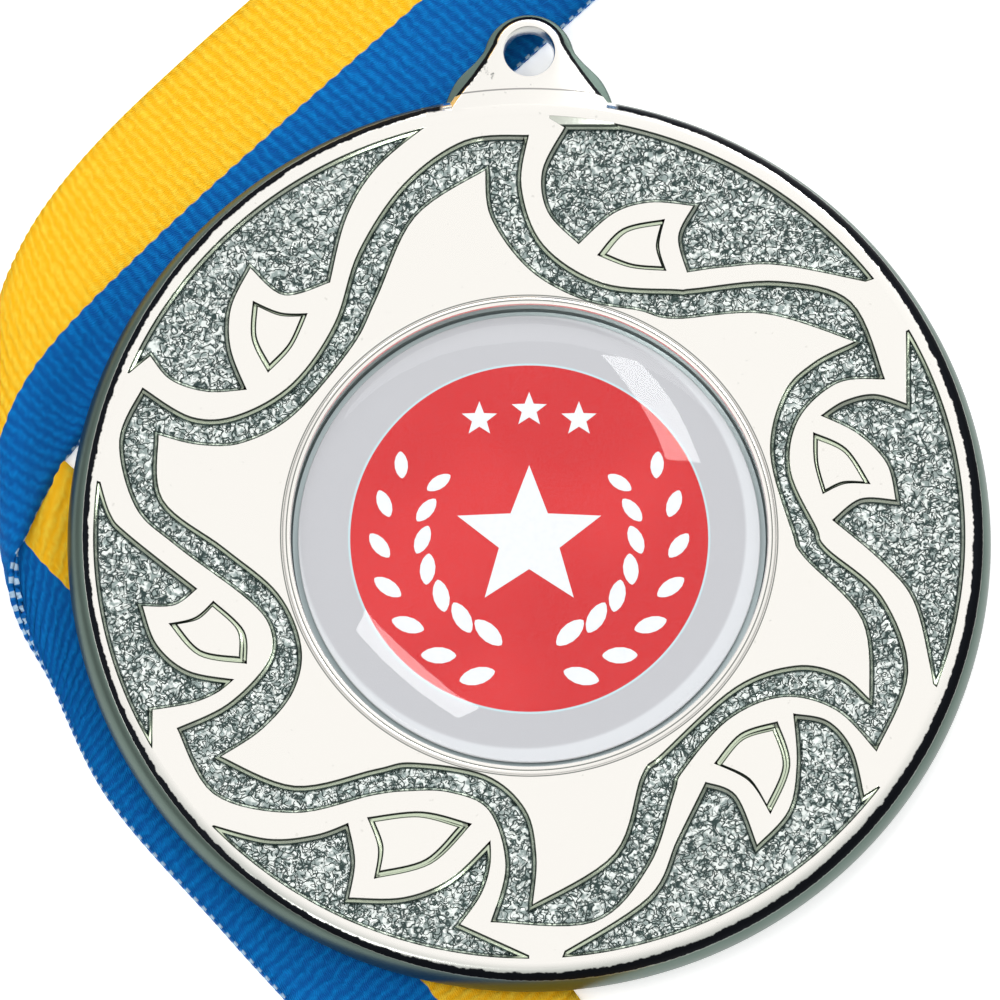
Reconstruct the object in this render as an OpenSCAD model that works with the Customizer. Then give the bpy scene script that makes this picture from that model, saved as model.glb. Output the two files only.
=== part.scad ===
// Prize medal with a domed centre label, lying on its folded neck ribbon.
// Millimetres. The origin is the middle of the medal's back face. +Z points out of the front face
// and +Y points from the middle to the ring hole. The table top is at z = -table_drop.

/* [Medal] */
// Diameter of the medal over its rounded edge
medal_d = 50; // [42:0.5:60]
// Thickness at the rim
medal_t = 3; // [2.6:0.1:3.6]
// How far the rounded edge stands out past the flat face
edge_roll = 0.9; // [0.6:0.1:1.2]
// Width of the smooth rim around the sunk field
rim_w = 0.7; // [0.5:0.1:1]
// Depth of the sunk, pebbled field below the raised pattern
relief_h = 0.4; // [0.3:0.05:0.5]
// Depth of the ring cut into the back
back_ring_depth = 0.2; // [0.1:0.05:0.3]
// Width of the ring cut into the back
back_ring_w = 0.6; // [0.4:0.1:1]

/* [Lug] */
// Diameter of the hole for the ring or wire clip
hole_d = 2.6; // [2:0.1:3]
// Metal left around the hole on the front layer of the lug
eye_wall = 0.75; // [0.6:0.05:1]
// Extra metal around the rear layer of the lug
lug_step = 0.55; // [0.3:0.05:0.7]
// Height of the hole's centre above the edge of the medal
hole_rise = 2.2; // [2:0.1:2.6]
// Gap between the lug's rear face and the plane of the back
lug_back_gap = 0.4; // [0.2:0.1:0.6]

/* [Centre] */
// Diameter of the printed label
label_d = 25; // [20:0.5:26]
// Thickness of the printed label
label_t = 0.2; // [0.1:0.05:0.3]
// Thickness of the double-sided pad under the label
pad_t = 0.2; // [0.1:0.05:0.4]
// Height of the clear dome at its middle
dome_h = 1.9; // [1.4:0.1:2.3]
// Gap around the label in its seat
seat_clear = 0.4; // [0.2:0.05:0.5]
// Depth of the seat below the front face
seat_depth = 1.1; // [0.8:0.1:1.3]
// Width of the raised lip around the seat
lip_w = 0.45; // [0.3:0.05:0.6]
// Height of the raised lip above the front face
lip_h = 0.1; // [0.05:0.05:0.2]

/* [Ribbon] */
// Width of the ribbon
ribbon_w = 12.6; // [10.5:0.3:15.3]
// Thickness of one layer of ribbon
ribbon_t = 0.34; // [0.28:0.01:0.42]
// Length of one pass of the folded stack
pass_len = 37; // [30:1:45]
// Number of doubled passes in the folded stack
passes = 8; // [6:1:10]
// Width of the paper band around the stack
band_w = 9; // [6:0.5:12]
// Thickness of the paper band
band_t = 0.12; // [0.08:0.02:0.3]
// Length of the sewn end, from its stitching side to the wire
hem_len = 6; // [5:0.5:8]

/* [Clip] */
// Diameter of the clip's wire
wire_d = 0.9; // [0.7:0.05:1.1]
// Reach of the clip from the hem to its nose
clip_reach = 10; // [8:0.5:13]

/* [Hidden] */

$fn = 96;
eps = 0.01;                  // overlap that makes two shapes one solid
lay_gap = 0.03;              // air between layers that lie on each other
run_clear = 0.05;            // radial clearance of the wire in the hem
flames = 6;

medal_r = medal_d / 2;
face_r = medal_r - edge_roll;
field_r = face_r - rim_w;
label_r = label_d / 2;
seat_r = label_r + seat_clear;
lip_r = seat_r + lip_w;
seat_floor = medal_t - seat_depth;
wire_r = wire_d / 2;

pair_t = 2 * ribbon_t + lay_gap;           // the two legs of the loop, pressed flat
table_drop = pair_t + 2 * lay_gap;         // the table is this far below the medal's back
low_z = -table_drop + pair_t / 2 + eps;    // middle of a pair that lies on the table

SILVER = [0.86, 0.86, 0.84];
YELLOW = [1.0, 0.77, 0.10];
BLUE = [0.0, 0.37, 0.68];

// ---- helpers ----

function turned(a, p) = [p[0] * cos(a) - p[1] * sin(a), p[0] * sin(a) + p[1] * cos(a)];

// One point of a cardinal spline between b and c, with a and d as the neighbours.
function between(a, b, c, d, t) =
    let (m = (c - a) / 2, n = (d - b) / 2, t2 = t * t, t3 = t2 * t)
    b * (2 * t3 - 3 * t2 + 1) + m * (t3 - 2 * t2 + t) + c * (3 * t2 - 2 * t3) + n * (t3 - t2);

// A smooth open curve through points, without its last point.
function smooth(points, steps) =
    let (last = len(points) - 1)
    [for (i = [0:last - 1], s = [0:steps - 1])
        between(points[max(i - 1, 0)], points[i], points[i + 1], points[min(i + 2, last)], s / steps)];

// The pattern is drawn for a seat lip of 13.5 and a field of 23.4, and is stretched to fit.
drawn_lip_r = 13.5;
drawn_field_r = 23.4;
function fitted(p) =
    let (r = norm(p), f = (r - drawn_lip_r) / (drawn_field_r - drawn_lip_r))
    p / r * (lip_r + f * (field_r - lip_r));
function flame_point(k, p) = fitted(turned(-360 / flames * k, p));
function flame_points(k, points) = [for (p = points) flame_point(k, p)];

// ---- the drawing of the six flames ----
// Each row is one flame, turned so that it points along +Y. The flames are drawn by hand
// and differ a little.

// Sun: two points up the back, the tip, three down the front, and the turn by the lip
SUN = [
    [[-8.3, 13.4], [-6.2, 17.9], [-2.4, 20.5], [-2.1, 17.9], [0, 15], [3, 13.3], [6, 12.7]],
    [[-6.6, 13], [-4.4, 17.3], [-0.6, 20.7], [-0.7, 18.3], [0, 16], [2.6, 13.7], [7, 12.5]],
    [[-6.4, 13.6], [-4.9, 18], [-1.3, 20.5], [-1.7, 18.5], [-0.9, 16.2], [1.8, 14], [7, 12.4]],
    [[-6.1, 13.5], [-4.6, 17.8], [-0.2, 20.6], [-0.4, 18], [0.2, 15.4], [2.4, 13.5], [6.3, 12.8]],
    [[-7.2, 13.8], [-5.8, 18], [-2.4, 20.6], [-2.2, 18], [-1.2, 15.5], [0.8, 13.9], [4, 13.5]],
    [[-8.9, 14], [-8.2, 18.2], [-5.2, 20.2], [-4.6, 18.1], [-3.3, 16.1], [-0.5, 14.5], [4.4, 13.7]]];

// Channel: three points up the back, the corner, three down the front, and the turn
CHANNEL = [
    [[-9.3, 16], [-6.8, 19.8], [-3.5, 22.2], [0, 22.5], [-0.4, 19.6], [0.8, 16.4], [4, 14.3], [8, 13.9]],
    [[-7.6, 14.7], [-5.6, 18.9], [-2.6, 21.7], [2.1, 21.1], [1, 18.8], [1.7, 16], [4, 14.2], [7.5, 13.8]],
    [[-7.5, 14.4], [-6.6, 18.3], [-3.6, 21.6], [1.1, 22.3], [0.2, 19.3], [1, 16.5], [3.6, 14.6], [7.3, 13.9]],
    [[-7.9, 14.5], [-6.5, 18.5], [-3.5, 21.6], [2.1, 21.6], [1.3, 18.5], [2.2, 15.5], [4.3, 14.5], [6.5, 14.4]],
    [[-8.4, 14.7], [-7.1, 18.8], [-4, 22], [0.2, 21.9], [0, 18.9], [0.9, 16], [2.4, 14.9], [4.5, 15.1]],
    [[-10.1, 16.4], [-9.3, 19.3], [-6.5, 21.9], [-3.3, 22.3], [-3.4, 19.2], [-2, 17.1], [1, 15.5], [5, 15.2]]];

// Band, up the back: two points and the place where it joins the rim
BAND_BACK = [
    [[-9.9, 17.9], [-8.2, 20.7], [-5.4, 23.1]],
    [[-7.7, 16.8], [-6.3, 19.4], [-2.9, 23.2]],
    [[-8.2, 17.5], [-7, 20.1], [-3.4, 23.3]],
    [[-8, 17], [-6.4, 20.2], [-1.5, 23.4]],
    [[-8.7, 18.4], [-7.6, 20.7], [-5.3, 23]],
    [[-10.8, 18.8], [-10.3, 20.2], [-8.9, 21.7]]];
// Band, front: where it leaves the rim, the tip, two points, and the crook
BAND_FRONT = [
    [[1.1, 23.4], [1.9, 22.9], [0.7, 20.5], [1, 18.2], [2.7, 16.4]],
    [[0.3, 23.4], [3.8, 21.4], [2.5, 20.2], [2, 18.6], [2.1, 17.1]],
    [[2.7, 23.3], [3.5, 22.9], [1.6, 21.1], [0.9, 19.2], [1.5, 17.4]],
    [[0, 23.4], [3.7, 21.7], [2.6, 20.1], [2.1, 18.5], [2.1, 17.1]],
    [[-0.2, 23.6], [1.7, 22.5], [1, 20.6], [0.8, 19.1], [1, 17.9]],
    [[-3, 23.3], [-1.6, 22.8], [-2.2, 21.2], [-1.8, 19.2], [-0.6, 17.4]]];
// Fin: two points along the top, the tip, one point down its back, and the heel
FIN = [
    [[4.6, 18.1], [6.6, 18.7], [8.9, 18.5], [8.1, 16.8], [8.6, 14.8]],
    [[4, 18.3], [6.2, 18.8], [8.2, 18.2], [7.2, 16.6], [7.5, 14.7]],
    [[3.8, 18.9], [6.3, 19.8], [8.8, 19.3], [7, 17], [7.2, 15.2]],
    [[4.3, 19.2], [6.8, 20.2], [9.7, 20.2], [9.4, 18.2], [9.8, 16.1]],
    [[2.7, 19.8], [4.8, 20.5], [7, 20.1], [6.2, 18.6], [6.4, 17.1]],
    [[1, 19.3], [3, 20.4], [5.4, 20.6], [5, 18.3], [6.9, 16.5]]];
// Island in the fin: corner, side, corner, side, corner, side
ISLAND = [
    [[3.7, 15.8], [5.1, 17.3], [7.4, 17.8], [7.1, 16.3], [7.5, 14.9], [5.5, 15.1]],
    [[2.7, 16.3], [4.4, 17.4], [6.8, 17.5], [6.1, 16.3], [6, 15], [4.2, 15.5]],
    [[2.3, 16.9], [4.1, 18.7], [7, 19.1], [6, 17.2], [6.1, 15.1], [3.9, 15.5]],
    [[3.1, 16.2], [5.3, 18.4], [8.4, 19.2], [8.2, 17.5], [8.8, 15.8], [5.8, 15.5]],
    [[1.4, 16.9], [3.1, 18.9], [5.5, 19.4], [5.1, 18], [5.4, 16.7], [3.1, 16.1]],
    [[0.8, 16.9], [2, 18.6], [3.9, 19.6], [4.1, 18], [4.8, 16.7], [2.7, 16.5]]];
island_share = 0.78;         // size of the island inside its groove
curve_steps = 3;             // straight pieces between two points of a curve

// The closed outline that joins every flame's tip to the next one's.
function ring_outline(rows, tip) =
    [for (k = [0:flames - 1])
        let (next = (k + 1) % flames, last = len(rows[k]) - 1)
        each smooth(concat(flame_points(k, [for (i = [tip:last]) rows[k][i]]),
                           flame_points(next, [for (i = [0:tip]) rows[next][i]])), curve_steps)];

rim_overlap = 1.03;          // the band's root reaches this far into the rim
function band_outline() =
    [for (k = [0:flames - 1])
        let (next = (k + 1) % flames,
             front = flame_points(k, BAND_FRONT[k]),
             fin = flame_points(k, FIN[k]),
             back = flame_points(next, BAND_BACK[next]))
        each concat([front[0] * rim_overlap, front[0]],
                    smooth([for (i = [1:4]) front[i]], curve_steps),
                    smooth([front[4], fin[0], fin[1], fin[2]], curve_steps),
                    smooth([fin[2], fin[3], fin[4]], curve_steps),
                    smooth(concat([fin[4]], back), curve_steps),
                    [back[2] * rim_overlap])];

function island_outline(k, share) =
    let (p = flame_points(k, ISLAND[k]), middle = (p[0] + p[2] + p[4]) / 3,
         q = [for (v = p) middle + (v - middle) * share])
    concat(smooth([q[0], q[1], q[2]], curve_steps), smooth([q[2], q[3], q[4]], curve_steps),
           smooth([q[4], q[5], q[0]], curve_steps));

// ---- medal ----

edge_steps = 6;
module medal_blank() {
    side = [for (i = [-edge_steps:edge_steps])
        let (a = 90 * i / edge_steps)
        [face_r + edge_roll * cos(a), medal_t / 2 + medal_t / 2 * sin(a)]];
    rotate_extrude($fn = 180) polygon(concat([[0, 0]], side, [[0, medal_t]]));
}

module raised_pattern() {
    difference() {
        polygon(band_outline());
        polygon(ring_outline(CHANNEL, 3));
        for (k = [0:flames - 1]) polygon(island_outline(k, 1));
    }
    for (k = [0:flames - 1]) polygon(island_outline(k, island_share));
    polygon(ring_outline(SUN, 2));
    circle(r = lip_r, $fn = 180);
}

hole_y = medal_r + hole_rise;
eye_r = hole_d / 2 + eye_wall;
lug_foot = 4.6;              // half width of the lug inside the rim
lug_waist = 0.78;            // its width at the medal's edge, as a share of the foot
lug_root = 1;                // the foot reaches this far in from the edge of the face
lug_shoulder = 0.3;          // the waist is this far inside the medal's edge
module lug_layer(extra, low, high) {
    foot = lug_foot + extra;
    half = [[foot, face_r - lug_root], [foot * lug_waist, medal_r - lug_shoulder], [eye_r + extra, hole_y]];
    translate([0, 0, low]) linear_extrude(high - low) {
        translate([0, hole_y]) circle(r = eye_r + extra);
        polygon([each half, [-half[2][0], half[2][1]], [-half[1][0], half[1][1]], [-half[0][0], half[0][1]]]);
    }
}

lug_shelf = medal_t * 0.55;  // top of the lug's rear layer
back_ring_inset = 2;         // the ring in the back is this far inside the face
module medal_body() {
    color(SILVER) difference() {
        union() {
            medal_blank();
            lug_layer(lug_step, lug_back_gap, lug_shelf);
            lug_layer(0, lug_shelf - eps, medal_t);
            translate([0, 0, medal_t - eps]) cylinder(r = lip_r, h = lip_h + eps, $fn = 180);
        }
        translate([0, 0, medal_t - relief_h]) linear_extrude(relief_h + 1) difference() {
            circle(r = field_r, $fn = 180);
            raised_pattern();
        }
        translate([0, 0, seat_floor]) cylinder(r = seat_r, h = medal_t, $fn = 180);
        translate([0, hole_y, -1]) cylinder(d = hole_d, h = medal_t + 2);
        translate([0, 0, -eps]) linear_extrude(back_ring_depth + eps) difference() {
            circle(r = face_r - back_ring_inset);
            circle(r = face_r - back_ring_inset - back_ring_w);
        }
    }
}

pad_margin = 0.3;            // the pad stops short of the label's edge
module adhesive_pad() {
    color("gray") translate([0, 0, seat_floor]) cylinder(r = label_r - pad_margin, h = pad_t);
}

label_z = seat_floor + pad_t;
module label_disc() {
    color([0.8, 0.2, 0.2]) translate([0, 0, label_z]) cylinder(r = label_r, h = label_t, $fn = 180);
}

dome_z = label_z + label_t;
module resin_dome() {
    ball_r = (label_r * label_r + dome_h * dome_h) / (2 * dome_h);
    color([0.9, 0.95, 1, 0.4]) translate([0, 0, dome_z]) intersection() {
        translate([0, 0, dome_h - ball_r]) sphere(r = ball_r, $fn = 180);
        cylinder(r = label_r, h = dome_h + 1, $fn = 180);
    }
}

// ---- ribbon route ----
// The loop's two legs lie pressed together. From the stack the pair runs down to the left,
// turns over in a soft fold beside the medal and runs down to the right to its sewn end.

drawn_medal_r = 25;
drawn_ribbon_w = 12.6;
shift = [drawn_medal_r - medal_r, 0, 0];   // the fold stays beside the medal's edge
upper_mid = [-6.9, medal_r + 5, 0];        // a point on the middle of the upper strand
upper_angle = 42.5;                        // heading of the upper strand, away from the fold
lower_mid = [-6.1, -medal_r - 1.1, 0];     // a point on the middle of the lower strand
lower_angle = -49.7;                       // heading of the lower strand, away from the fold
upper_reach = 9.5;                         // from upper_mid to the stack
lower_reach = 16;                          // from lower_mid to the hem

// The fold, in drawn size: yellow edge, middle, blue edge. The third number is the lift.
FOLD = [
    [[-23.5, 22.8, 0.5], [-20, 17.8, 0.2], [-16, 12.9, 0]],
    [[-26.6, 18.6, 1.2], [-24.2, 13.4, 1], [-20.5, 9.2, 0]],
    [[-28.2, 15, 1.4], [-26.9, 9.9, 1.7], [-23.4, 7.1, 0.4]],
    [[-28.6, 11.8, 0.9], [-28.3, 6.8, 1.5], [-25.5, 4.6, 1.1]],
    [[-28, 9, 0.3], [-28.7, 4.2, 0.9], [-27, 1.6, 1.4]],
    [[-26.7, 6.6, 0], [-28.3, 1.8, 0.3], [-27.9, -1.4, 1]],
    [[-25, 4.2, 0], [-27.1, -0.6, 0], [-27.7, -4.6, 0.4]],
    [[-21.8, 0.6, 0], [-24.9, -3.8, 0], [-26.6, -8.2, 0.1]]];

function heading(a) = [cos(a), sin(a), 0];
function straight(mid, a, along) =
    let (c = mid + heading(a) * along + shift, w = heading(a + 90) * ribbon_w / 2)
    [c + w, c, c - w];
function folded(row) = [for (p = row) let (q = row[1] + (p - row[1]) * ribbon_w / drawn_ribbon_w)
    [q[0], q[1], p[2]] + shift];

station = 10;                // spacing of the stations along the straight stretches
ROUTE = concat([straight(upper_mid, upper_angle, upper_reach),
                straight(upper_mid, upper_angle, 0),
                straight(upper_mid, upper_angle, -station)],
               [for (row = FOLD) folded(row)],
               [straight(lower_mid, lower_angle, -2 * station),
                straight(lower_mid, lower_angle, -station),
                straight(lower_mid, lower_angle, 0),
                straight(lower_mid, lower_angle, lower_reach)]);

route_steps = 4;
function column(i) = concat(smooth([for (row = ROUTE) row[i]], route_steps), [ROUTE[len(ROUTE) - 1][i]]);
yellow_edge = column(0);
middle_line = column(1);
blue_edge = column(2);

across = 4;                  // strips across the ribbon
function bow(i, t) = // a parabola through the two edges and the middle
    let (a = yellow_edge[i], b = middle_line[i], c = blue_edge[i])
    a * (1 - t) * (1 - 2 * t) + b * 4 * t * (1 - t) + c * t * (2 * t - 1);

tuck_slope = 0.7;            // the ribbon may rise this steeply past the medal's edge
tuck_start = 1.2;            // the rise starts this far outside the edge
function tucked(p) =
    let (room = (norm([p[0], p[1]]) - medal_r - tuck_start) * tuck_slope)
    [p[0], p[1], low_z + max(0, min(p[2], room))];
sheet = [for (i = [0:len(middle_line) - 1]) [for (j = [0:across]) tucked(bow(i, j / across))]];
function face_normal(i, j) =
    let (last = len(sheet) - 1,
         u = sheet[min(i + 1, last)][j] - sheet[max(i - 1, 0)][j],
         v = sheet[i][min(j + 1, across)] - sheet[i][max(j - 1, 0)],
         n = cross(v, u))
    n / norm(n);

module ribbon_run() {
    rings = [for (i = [0:len(sheet) - 1])
        let (n = [for (j = [0:across]) face_normal(i, j) * pair_t / 2])
        concat([for (j = [0:across]) sheet[i][j] + n[j]],
               [for (j = [across:-1:0]) sheet[i][j] - n[j]])];
    size = 2 * (across + 1);
    last = len(rings) - 1;
    sides = [for (i = [0:last - 1], j = [0:size - 1])
        let (k = (j + 1) % size)
        [i * size + j, i * size + k, (i + 1) * size + k, (i + 1) * size + j]];
    color(YELLOW) polyhedron(
        points = [for (ring = rings) each ring],
        faces = concat(sides, [[for (j = [size - 1:-1:0]) j]], [[for (j = [0:size - 1]) last * size + j]]));
}

// ---- stack and band ----

stack_h = passes * pair_t + (passes - 1) * lay_gap;
stack_start = upper_mid + heading(upper_angle) * upper_reach + shift;
band_z = low_z - pair_t / 2;               // the band lies on the table
stack_z = band_z + band_t + lay_gap;       // and the stack lies on the band
module at_stack(z) {
    translate([stack_start[0], stack_start[1], z]) rotate([0, 0, upper_angle]) children();
}

module ribbon_stack() {
    r = stack_h / 2;
    color(YELLOW) at_stack(stack_z) rotate([90, 0, 0]) translate([0, 0, -ribbon_w / 2]) linear_extrude(ribbon_w)
        union() {
            square([pass_len - r, stack_h]);
            translate([pass_len - r, r]) circle(r = r);
        }
}

module paper_band() {
    hole = [band_w + 2, ribbon_w + 2 * lay_gap, stack_h + 2 * lay_gap];
    wall = [0, band_t, band_t];
    color("white") at_stack(band_z) translate([(pass_len - band_w) / 2, 0, 0]) difference() {
        translate([0, -hole[1] / 2 - band_t, 0]) cube([band_w, hole[1], hole[2]] + 2 * wall);
        translate([-1, -hole[1] / 2, band_t]) cube(hole);
    }
}

// ---- sewn end and wire clip ----

hem_start = lower_mid + heading(lower_angle) * lower_reach + shift;
hem_wall = ribbon_t;
hem_bore_r = wire_r + run_clear;
hem_r = hem_bore_r + hem_wall;
hem_z = low_z - pair_t / 2 + hem_r;        // height of the wire's bar
module at_hem() {
    translate([hem_start[0], hem_start[1], 0]) rotate([0, 0, lower_angle]) children();
}

module ribbon_hem() {
    color(BLUE) at_hem() difference() {
        union() {
            translate([0, -ribbon_w / 2, low_z - pair_t / 2]) cube([hem_len, ribbon_w, pair_t]);
            translate([hem_len, ribbon_w / 2, hem_z]) rotate([90, 0, 0]) cylinder(r = hem_r, h = ribbon_w);
        }
        translate([hem_len, ribbon_w / 2 + 1, hem_z]) rotate([90, 0, 0])
            cylinder(r = hem_bore_r, h = ribbon_w + 2);
    }
}

thread_r = 0.13;
stitch_len = 1.2;
stitch_count = 7;
stitch_edge = 1;             // ribbon left free beside the rows, both sides together
stitch_rows = [2, 4];        // distance of each row from the start of the hem
module hem_stitching() {
    pitch = (ribbon_w - stitch_edge) / stitch_count;
    color("gold") at_hem() for (x = stitch_rows, i = [0:stitch_count - 1])
        translate([x, (i - (stitch_count - 1) / 2) * pitch - stitch_len / 2, low_z + pair_t / 2])
            rotate([-90, 0, 0]) cylinder(r = thread_r, h = stitch_len, $fn = 24);
}

clip_side = 1.4;                           // from the hem's edge to the bar's corner
clip_corner_y = ribbon_w / 2 + clip_side;
clip_nose_y = 1;                           // half width of the nose
knuckle_r = wire_r + 0.02;                 // the wire swells a little where it is bent
// The loop lies nose down on the table.
clip_nose_z = low_z - pair_t / 2 + knuckle_r;
clip_droop = asin((hem_z - clip_nose_z) / clip_reach);

module wire_clip() {
    c = [[0, -clip_corner_y], [clip_reach, -clip_nose_y], [clip_reach, clip_nose_y], [0, clip_corner_y]];
    color("silver") at_hem() translate([hem_len, 0, hem_z]) rotate([0, clip_droop, 0])
        for (i = [0:3]) {
            step = c[(i + 1) % 4] - c[i];
            translate([c[i][0], c[i][1], 0]) {
                sphere(r = knuckle_r);
                rotate([0, 0, atan2(step[1], step[0])]) rotate([0, 90, 0]) cylinder(r = wire_r, h = norm(step));
            }
        }
}

medal_body();
adhesive_pad();
label_disc();
resin_dome();
ribbon_run();
ribbon_stack();
paper_band();
ribbon_hem();
hem_stitching();
wire_clip();
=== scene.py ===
"""Prize medal with a domed centre label, lying on its folded two-colour neck ribbon.

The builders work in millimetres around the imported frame, and each finished mesh is put into metres once.
"""

import logging
import math
from collections.abc import Iterable, Sequence
from dataclasses import dataclass, field
from enum import Enum

import bmesh
import bpy
from mathutils import Matrix, Vector, noise


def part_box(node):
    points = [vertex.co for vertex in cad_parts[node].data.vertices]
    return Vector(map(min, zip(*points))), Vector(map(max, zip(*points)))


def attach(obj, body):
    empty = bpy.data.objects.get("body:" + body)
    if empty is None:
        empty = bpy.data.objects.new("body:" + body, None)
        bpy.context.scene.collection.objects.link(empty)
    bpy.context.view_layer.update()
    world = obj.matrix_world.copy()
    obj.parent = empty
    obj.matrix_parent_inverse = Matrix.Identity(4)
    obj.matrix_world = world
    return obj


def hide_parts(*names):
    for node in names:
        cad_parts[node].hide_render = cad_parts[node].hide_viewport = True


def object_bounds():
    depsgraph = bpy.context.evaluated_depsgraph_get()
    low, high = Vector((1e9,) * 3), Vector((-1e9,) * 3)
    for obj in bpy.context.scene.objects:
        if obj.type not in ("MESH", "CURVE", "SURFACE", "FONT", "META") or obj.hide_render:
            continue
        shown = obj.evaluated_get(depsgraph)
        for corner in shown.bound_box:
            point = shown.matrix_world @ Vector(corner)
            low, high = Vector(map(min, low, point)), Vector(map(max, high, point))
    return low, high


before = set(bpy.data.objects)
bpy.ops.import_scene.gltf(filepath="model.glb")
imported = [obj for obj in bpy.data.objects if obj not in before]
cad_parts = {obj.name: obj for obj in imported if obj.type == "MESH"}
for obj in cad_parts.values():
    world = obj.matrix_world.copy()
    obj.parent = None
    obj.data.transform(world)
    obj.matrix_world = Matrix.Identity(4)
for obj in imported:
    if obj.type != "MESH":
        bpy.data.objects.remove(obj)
CAD_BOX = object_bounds()

LOG = logging.getLogger("medal")
MM = 0.001
TURN = 2 * math.pi

Loop = list[Vector]
Station = list[Vector]
Colour = tuple[float, float, float, float]
Feed = bpy.types.NodeSocket | float | Colour


class Slot(Enum):
    """The record's finishes."""

    SILVER = "antique_silver"
    FOAM = "foam_pad"
    PRINT = "printed_label"
    RESIN = "clear_resin"
    WEAVE = "ribbon_weave"
    PAPER = "paper"
    THREAD = "thread"
    WIRE = "bright_wire"


class Body(Enum):
    """The bodies that move against each other."""

    RIBBON = "ribbon"
    MEDAL = "medal"
    CLIP = "clip"


# ---- curves ----


def box_mm(node: str) -> tuple[Vector, Vector]:
    """Lowest and highest corner of a CAD node, in millimetres."""
    low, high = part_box(node)
    return low / MM, high / MM


def heading(degrees: float) -> Vector:
    """Level unit vector at an angle from +X."""
    return Vector((math.cos(math.radians(degrees)), math.sin(math.radians(degrees)), 0.0))


def turned(point: Vector, degrees: float) -> Vector:
    """A flat point turned about the origin."""
    c, s = math.cos(math.radians(degrees)), math.sin(math.radians(degrees))
    return Vector((point.x * c - point.y * s, point.x * s + point.y * c))


def between(a: Vector, b: Vector, c: Vector, d: Vector, t: float) -> Vector:
    """One point of a cardinal spline.

    Args:
        a: Neighbour before b.
        b: Start of the stretch.
        c: End of the stretch.
        d: Neighbour after c.
        t: Share of the way from b to c.

    Returns:
        The point.
    """
    m, n = (c - a) / 2, (d - b) / 2
    t2, t3 = t * t, t * t * t
    return b * (2 * t3 - 3 * t2 + 1) + m * (t3 - 2 * t2 + t) + c * (3 * t2 - 2 * t3) + n * (t3 - t2)


def smooth(points: Sequence[Vector], steps: int | Sequence[int]) -> Loop:
    """A smooth open curve through points, without its last point.

    Args:
        points: Points that the curve passes through.
        steps: Pieces of each stretch, as one number or one for each stretch.

    Returns:
        The curve's points.
    """
    last = len(points) - 1
    counts = [steps] * last if isinstance(steps, int) else list(steps)
    return [
        between(points[max(i - 1, 0)], points[i], points[i + 1], points[min(i + 2, last)], s / counts[i])
        for i in range(last)
        for s in range(counts[i])
    ]


def polar(radius: float, angle: float) -> Vector:
    """A flat point at a distance from the origin and an angle in radians."""
    return radius * Vector((math.cos(angle), math.sin(angle)))


def circle(radius: float, count: int, centre: Vector) -> Loop:
    """Points round a flat circle, counterclockwise."""
    return [centre + polar(radius, TURN * i / count) for i in range(count)]


def area_of(loop: Loop) -> float:
    """Signed area of a closed outline, positive when it runs counterclockwise."""
    return sum(a.x * b.y - b.x * a.y for a, b in zip(loop, loop[1:] + loop[:1])) / 2


def spread(loop: Loop, distance: float, longest: float = 1.8) -> Loop:
    """Moves a closed outline's points away from the material on its left.

    Args:
        loop: The outline, counterclockwise, or clockwise for a hole.
        distance: How far its sides move.
        longest: How many times the distance a sharp corner may move.

    Returns:
        The moved points.
    """
    moved = []
    for before, here, after in zip(loop[-1:] + loop[:-1], loop, loop[1:] + loop[:1]):
        a, b = (here - before).normalized(), (after - here).normalized()
        out = Vector((a.y + b.y, -a.x - b.x)).normalized()
        moved.append(here + out * distance / max(out.dot(Vector((a.y, -a.x))), 1 / longest))
    return moved


# ---- the drawing of the six flames ----
# Each row is one flame, turned so that it points along +Y. The flames are drawn one by one and differ a little.

Row = Sequence[tuple[float, float]]

# Sun: two points up the back, the tip, three down the front, and the turn by the lip
SUN: Sequence[Row] = (
    ((-8.3, 13.4), (-6.2, 17.9), (-2.4, 20.5), (-2.1, 17.9), (0, 15), (3, 13.3), (6, 12.7)),
    ((-6.6, 13), (-4.4, 17.3), (-0.6, 20.7), (-0.7, 18.3), (0, 16), (2.6, 13.7), (7, 12.5)),
    ((-6.4, 13.6), (-4.9, 18), (-1.3, 20.5), (-1.7, 18.5), (-0.9, 16.2), (1.8, 14), (7, 12.4)),
    ((-6.1, 13.5), (-4.6, 17.8), (-0.2, 20.6), (-0.4, 18), (0.2, 15.4), (2.4, 13.5), (6.3, 12.8)),
    ((-7.2, 13.8), (-5.8, 18), (-2.4, 20.6), (-2.2, 18), (-1.2, 15.5), (0.8, 13.9), (4, 13.5)),
    ((-8.9, 14), (-8.2, 18.2), (-5.2, 20.2), (-4.6, 18.1), (-3.3, 16.1), (-0.5, 14.5), (4.4, 13.7)),
)
# Channel: three points up the back, the corner, three down the front, and the turn
CHANNEL: Sequence[Row] = (
    ((-9.3, 16), (-6.8, 19.8), (-3.5, 22.2), (0, 22.5), (-0.4, 19.6), (0.8, 16.4), (4, 14.3), (8, 13.9)),
    ((-7.6, 14.7), (-5.6, 18.9), (-2.6, 21.7), (2.1, 21.1), (1, 18.8), (1.7, 16), (4, 14.2), (7.5, 13.8)),
    ((-7.5, 14.4), (-6.6, 18.3), (-3.6, 21.6), (1.1, 22.3), (0.2, 19.3), (1, 16.5), (3.6, 14.6), (7.3, 13.9)),
    ((-7.9, 14.5), (-6.5, 18.5), (-3.5, 21.6), (2.1, 21.6), (1.3, 18.5), (2.2, 15.5), (4.3, 14.5), (6.5, 14.4)),
    ((-8.4, 14.7), (-7.1, 18.8), (-4, 22), (0.2, 21.9), (0, 18.9), (0.9, 16), (2.4, 14.9), (4.5, 15.1)),
    ((-10.1, 16.4), (-9.3, 19.3), (-6.5, 21.9), (-3.3, 22.3), (-3.4, 19.2), (-2, 17.1), (1, 15.5), (5, 15.2)),
)
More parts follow.
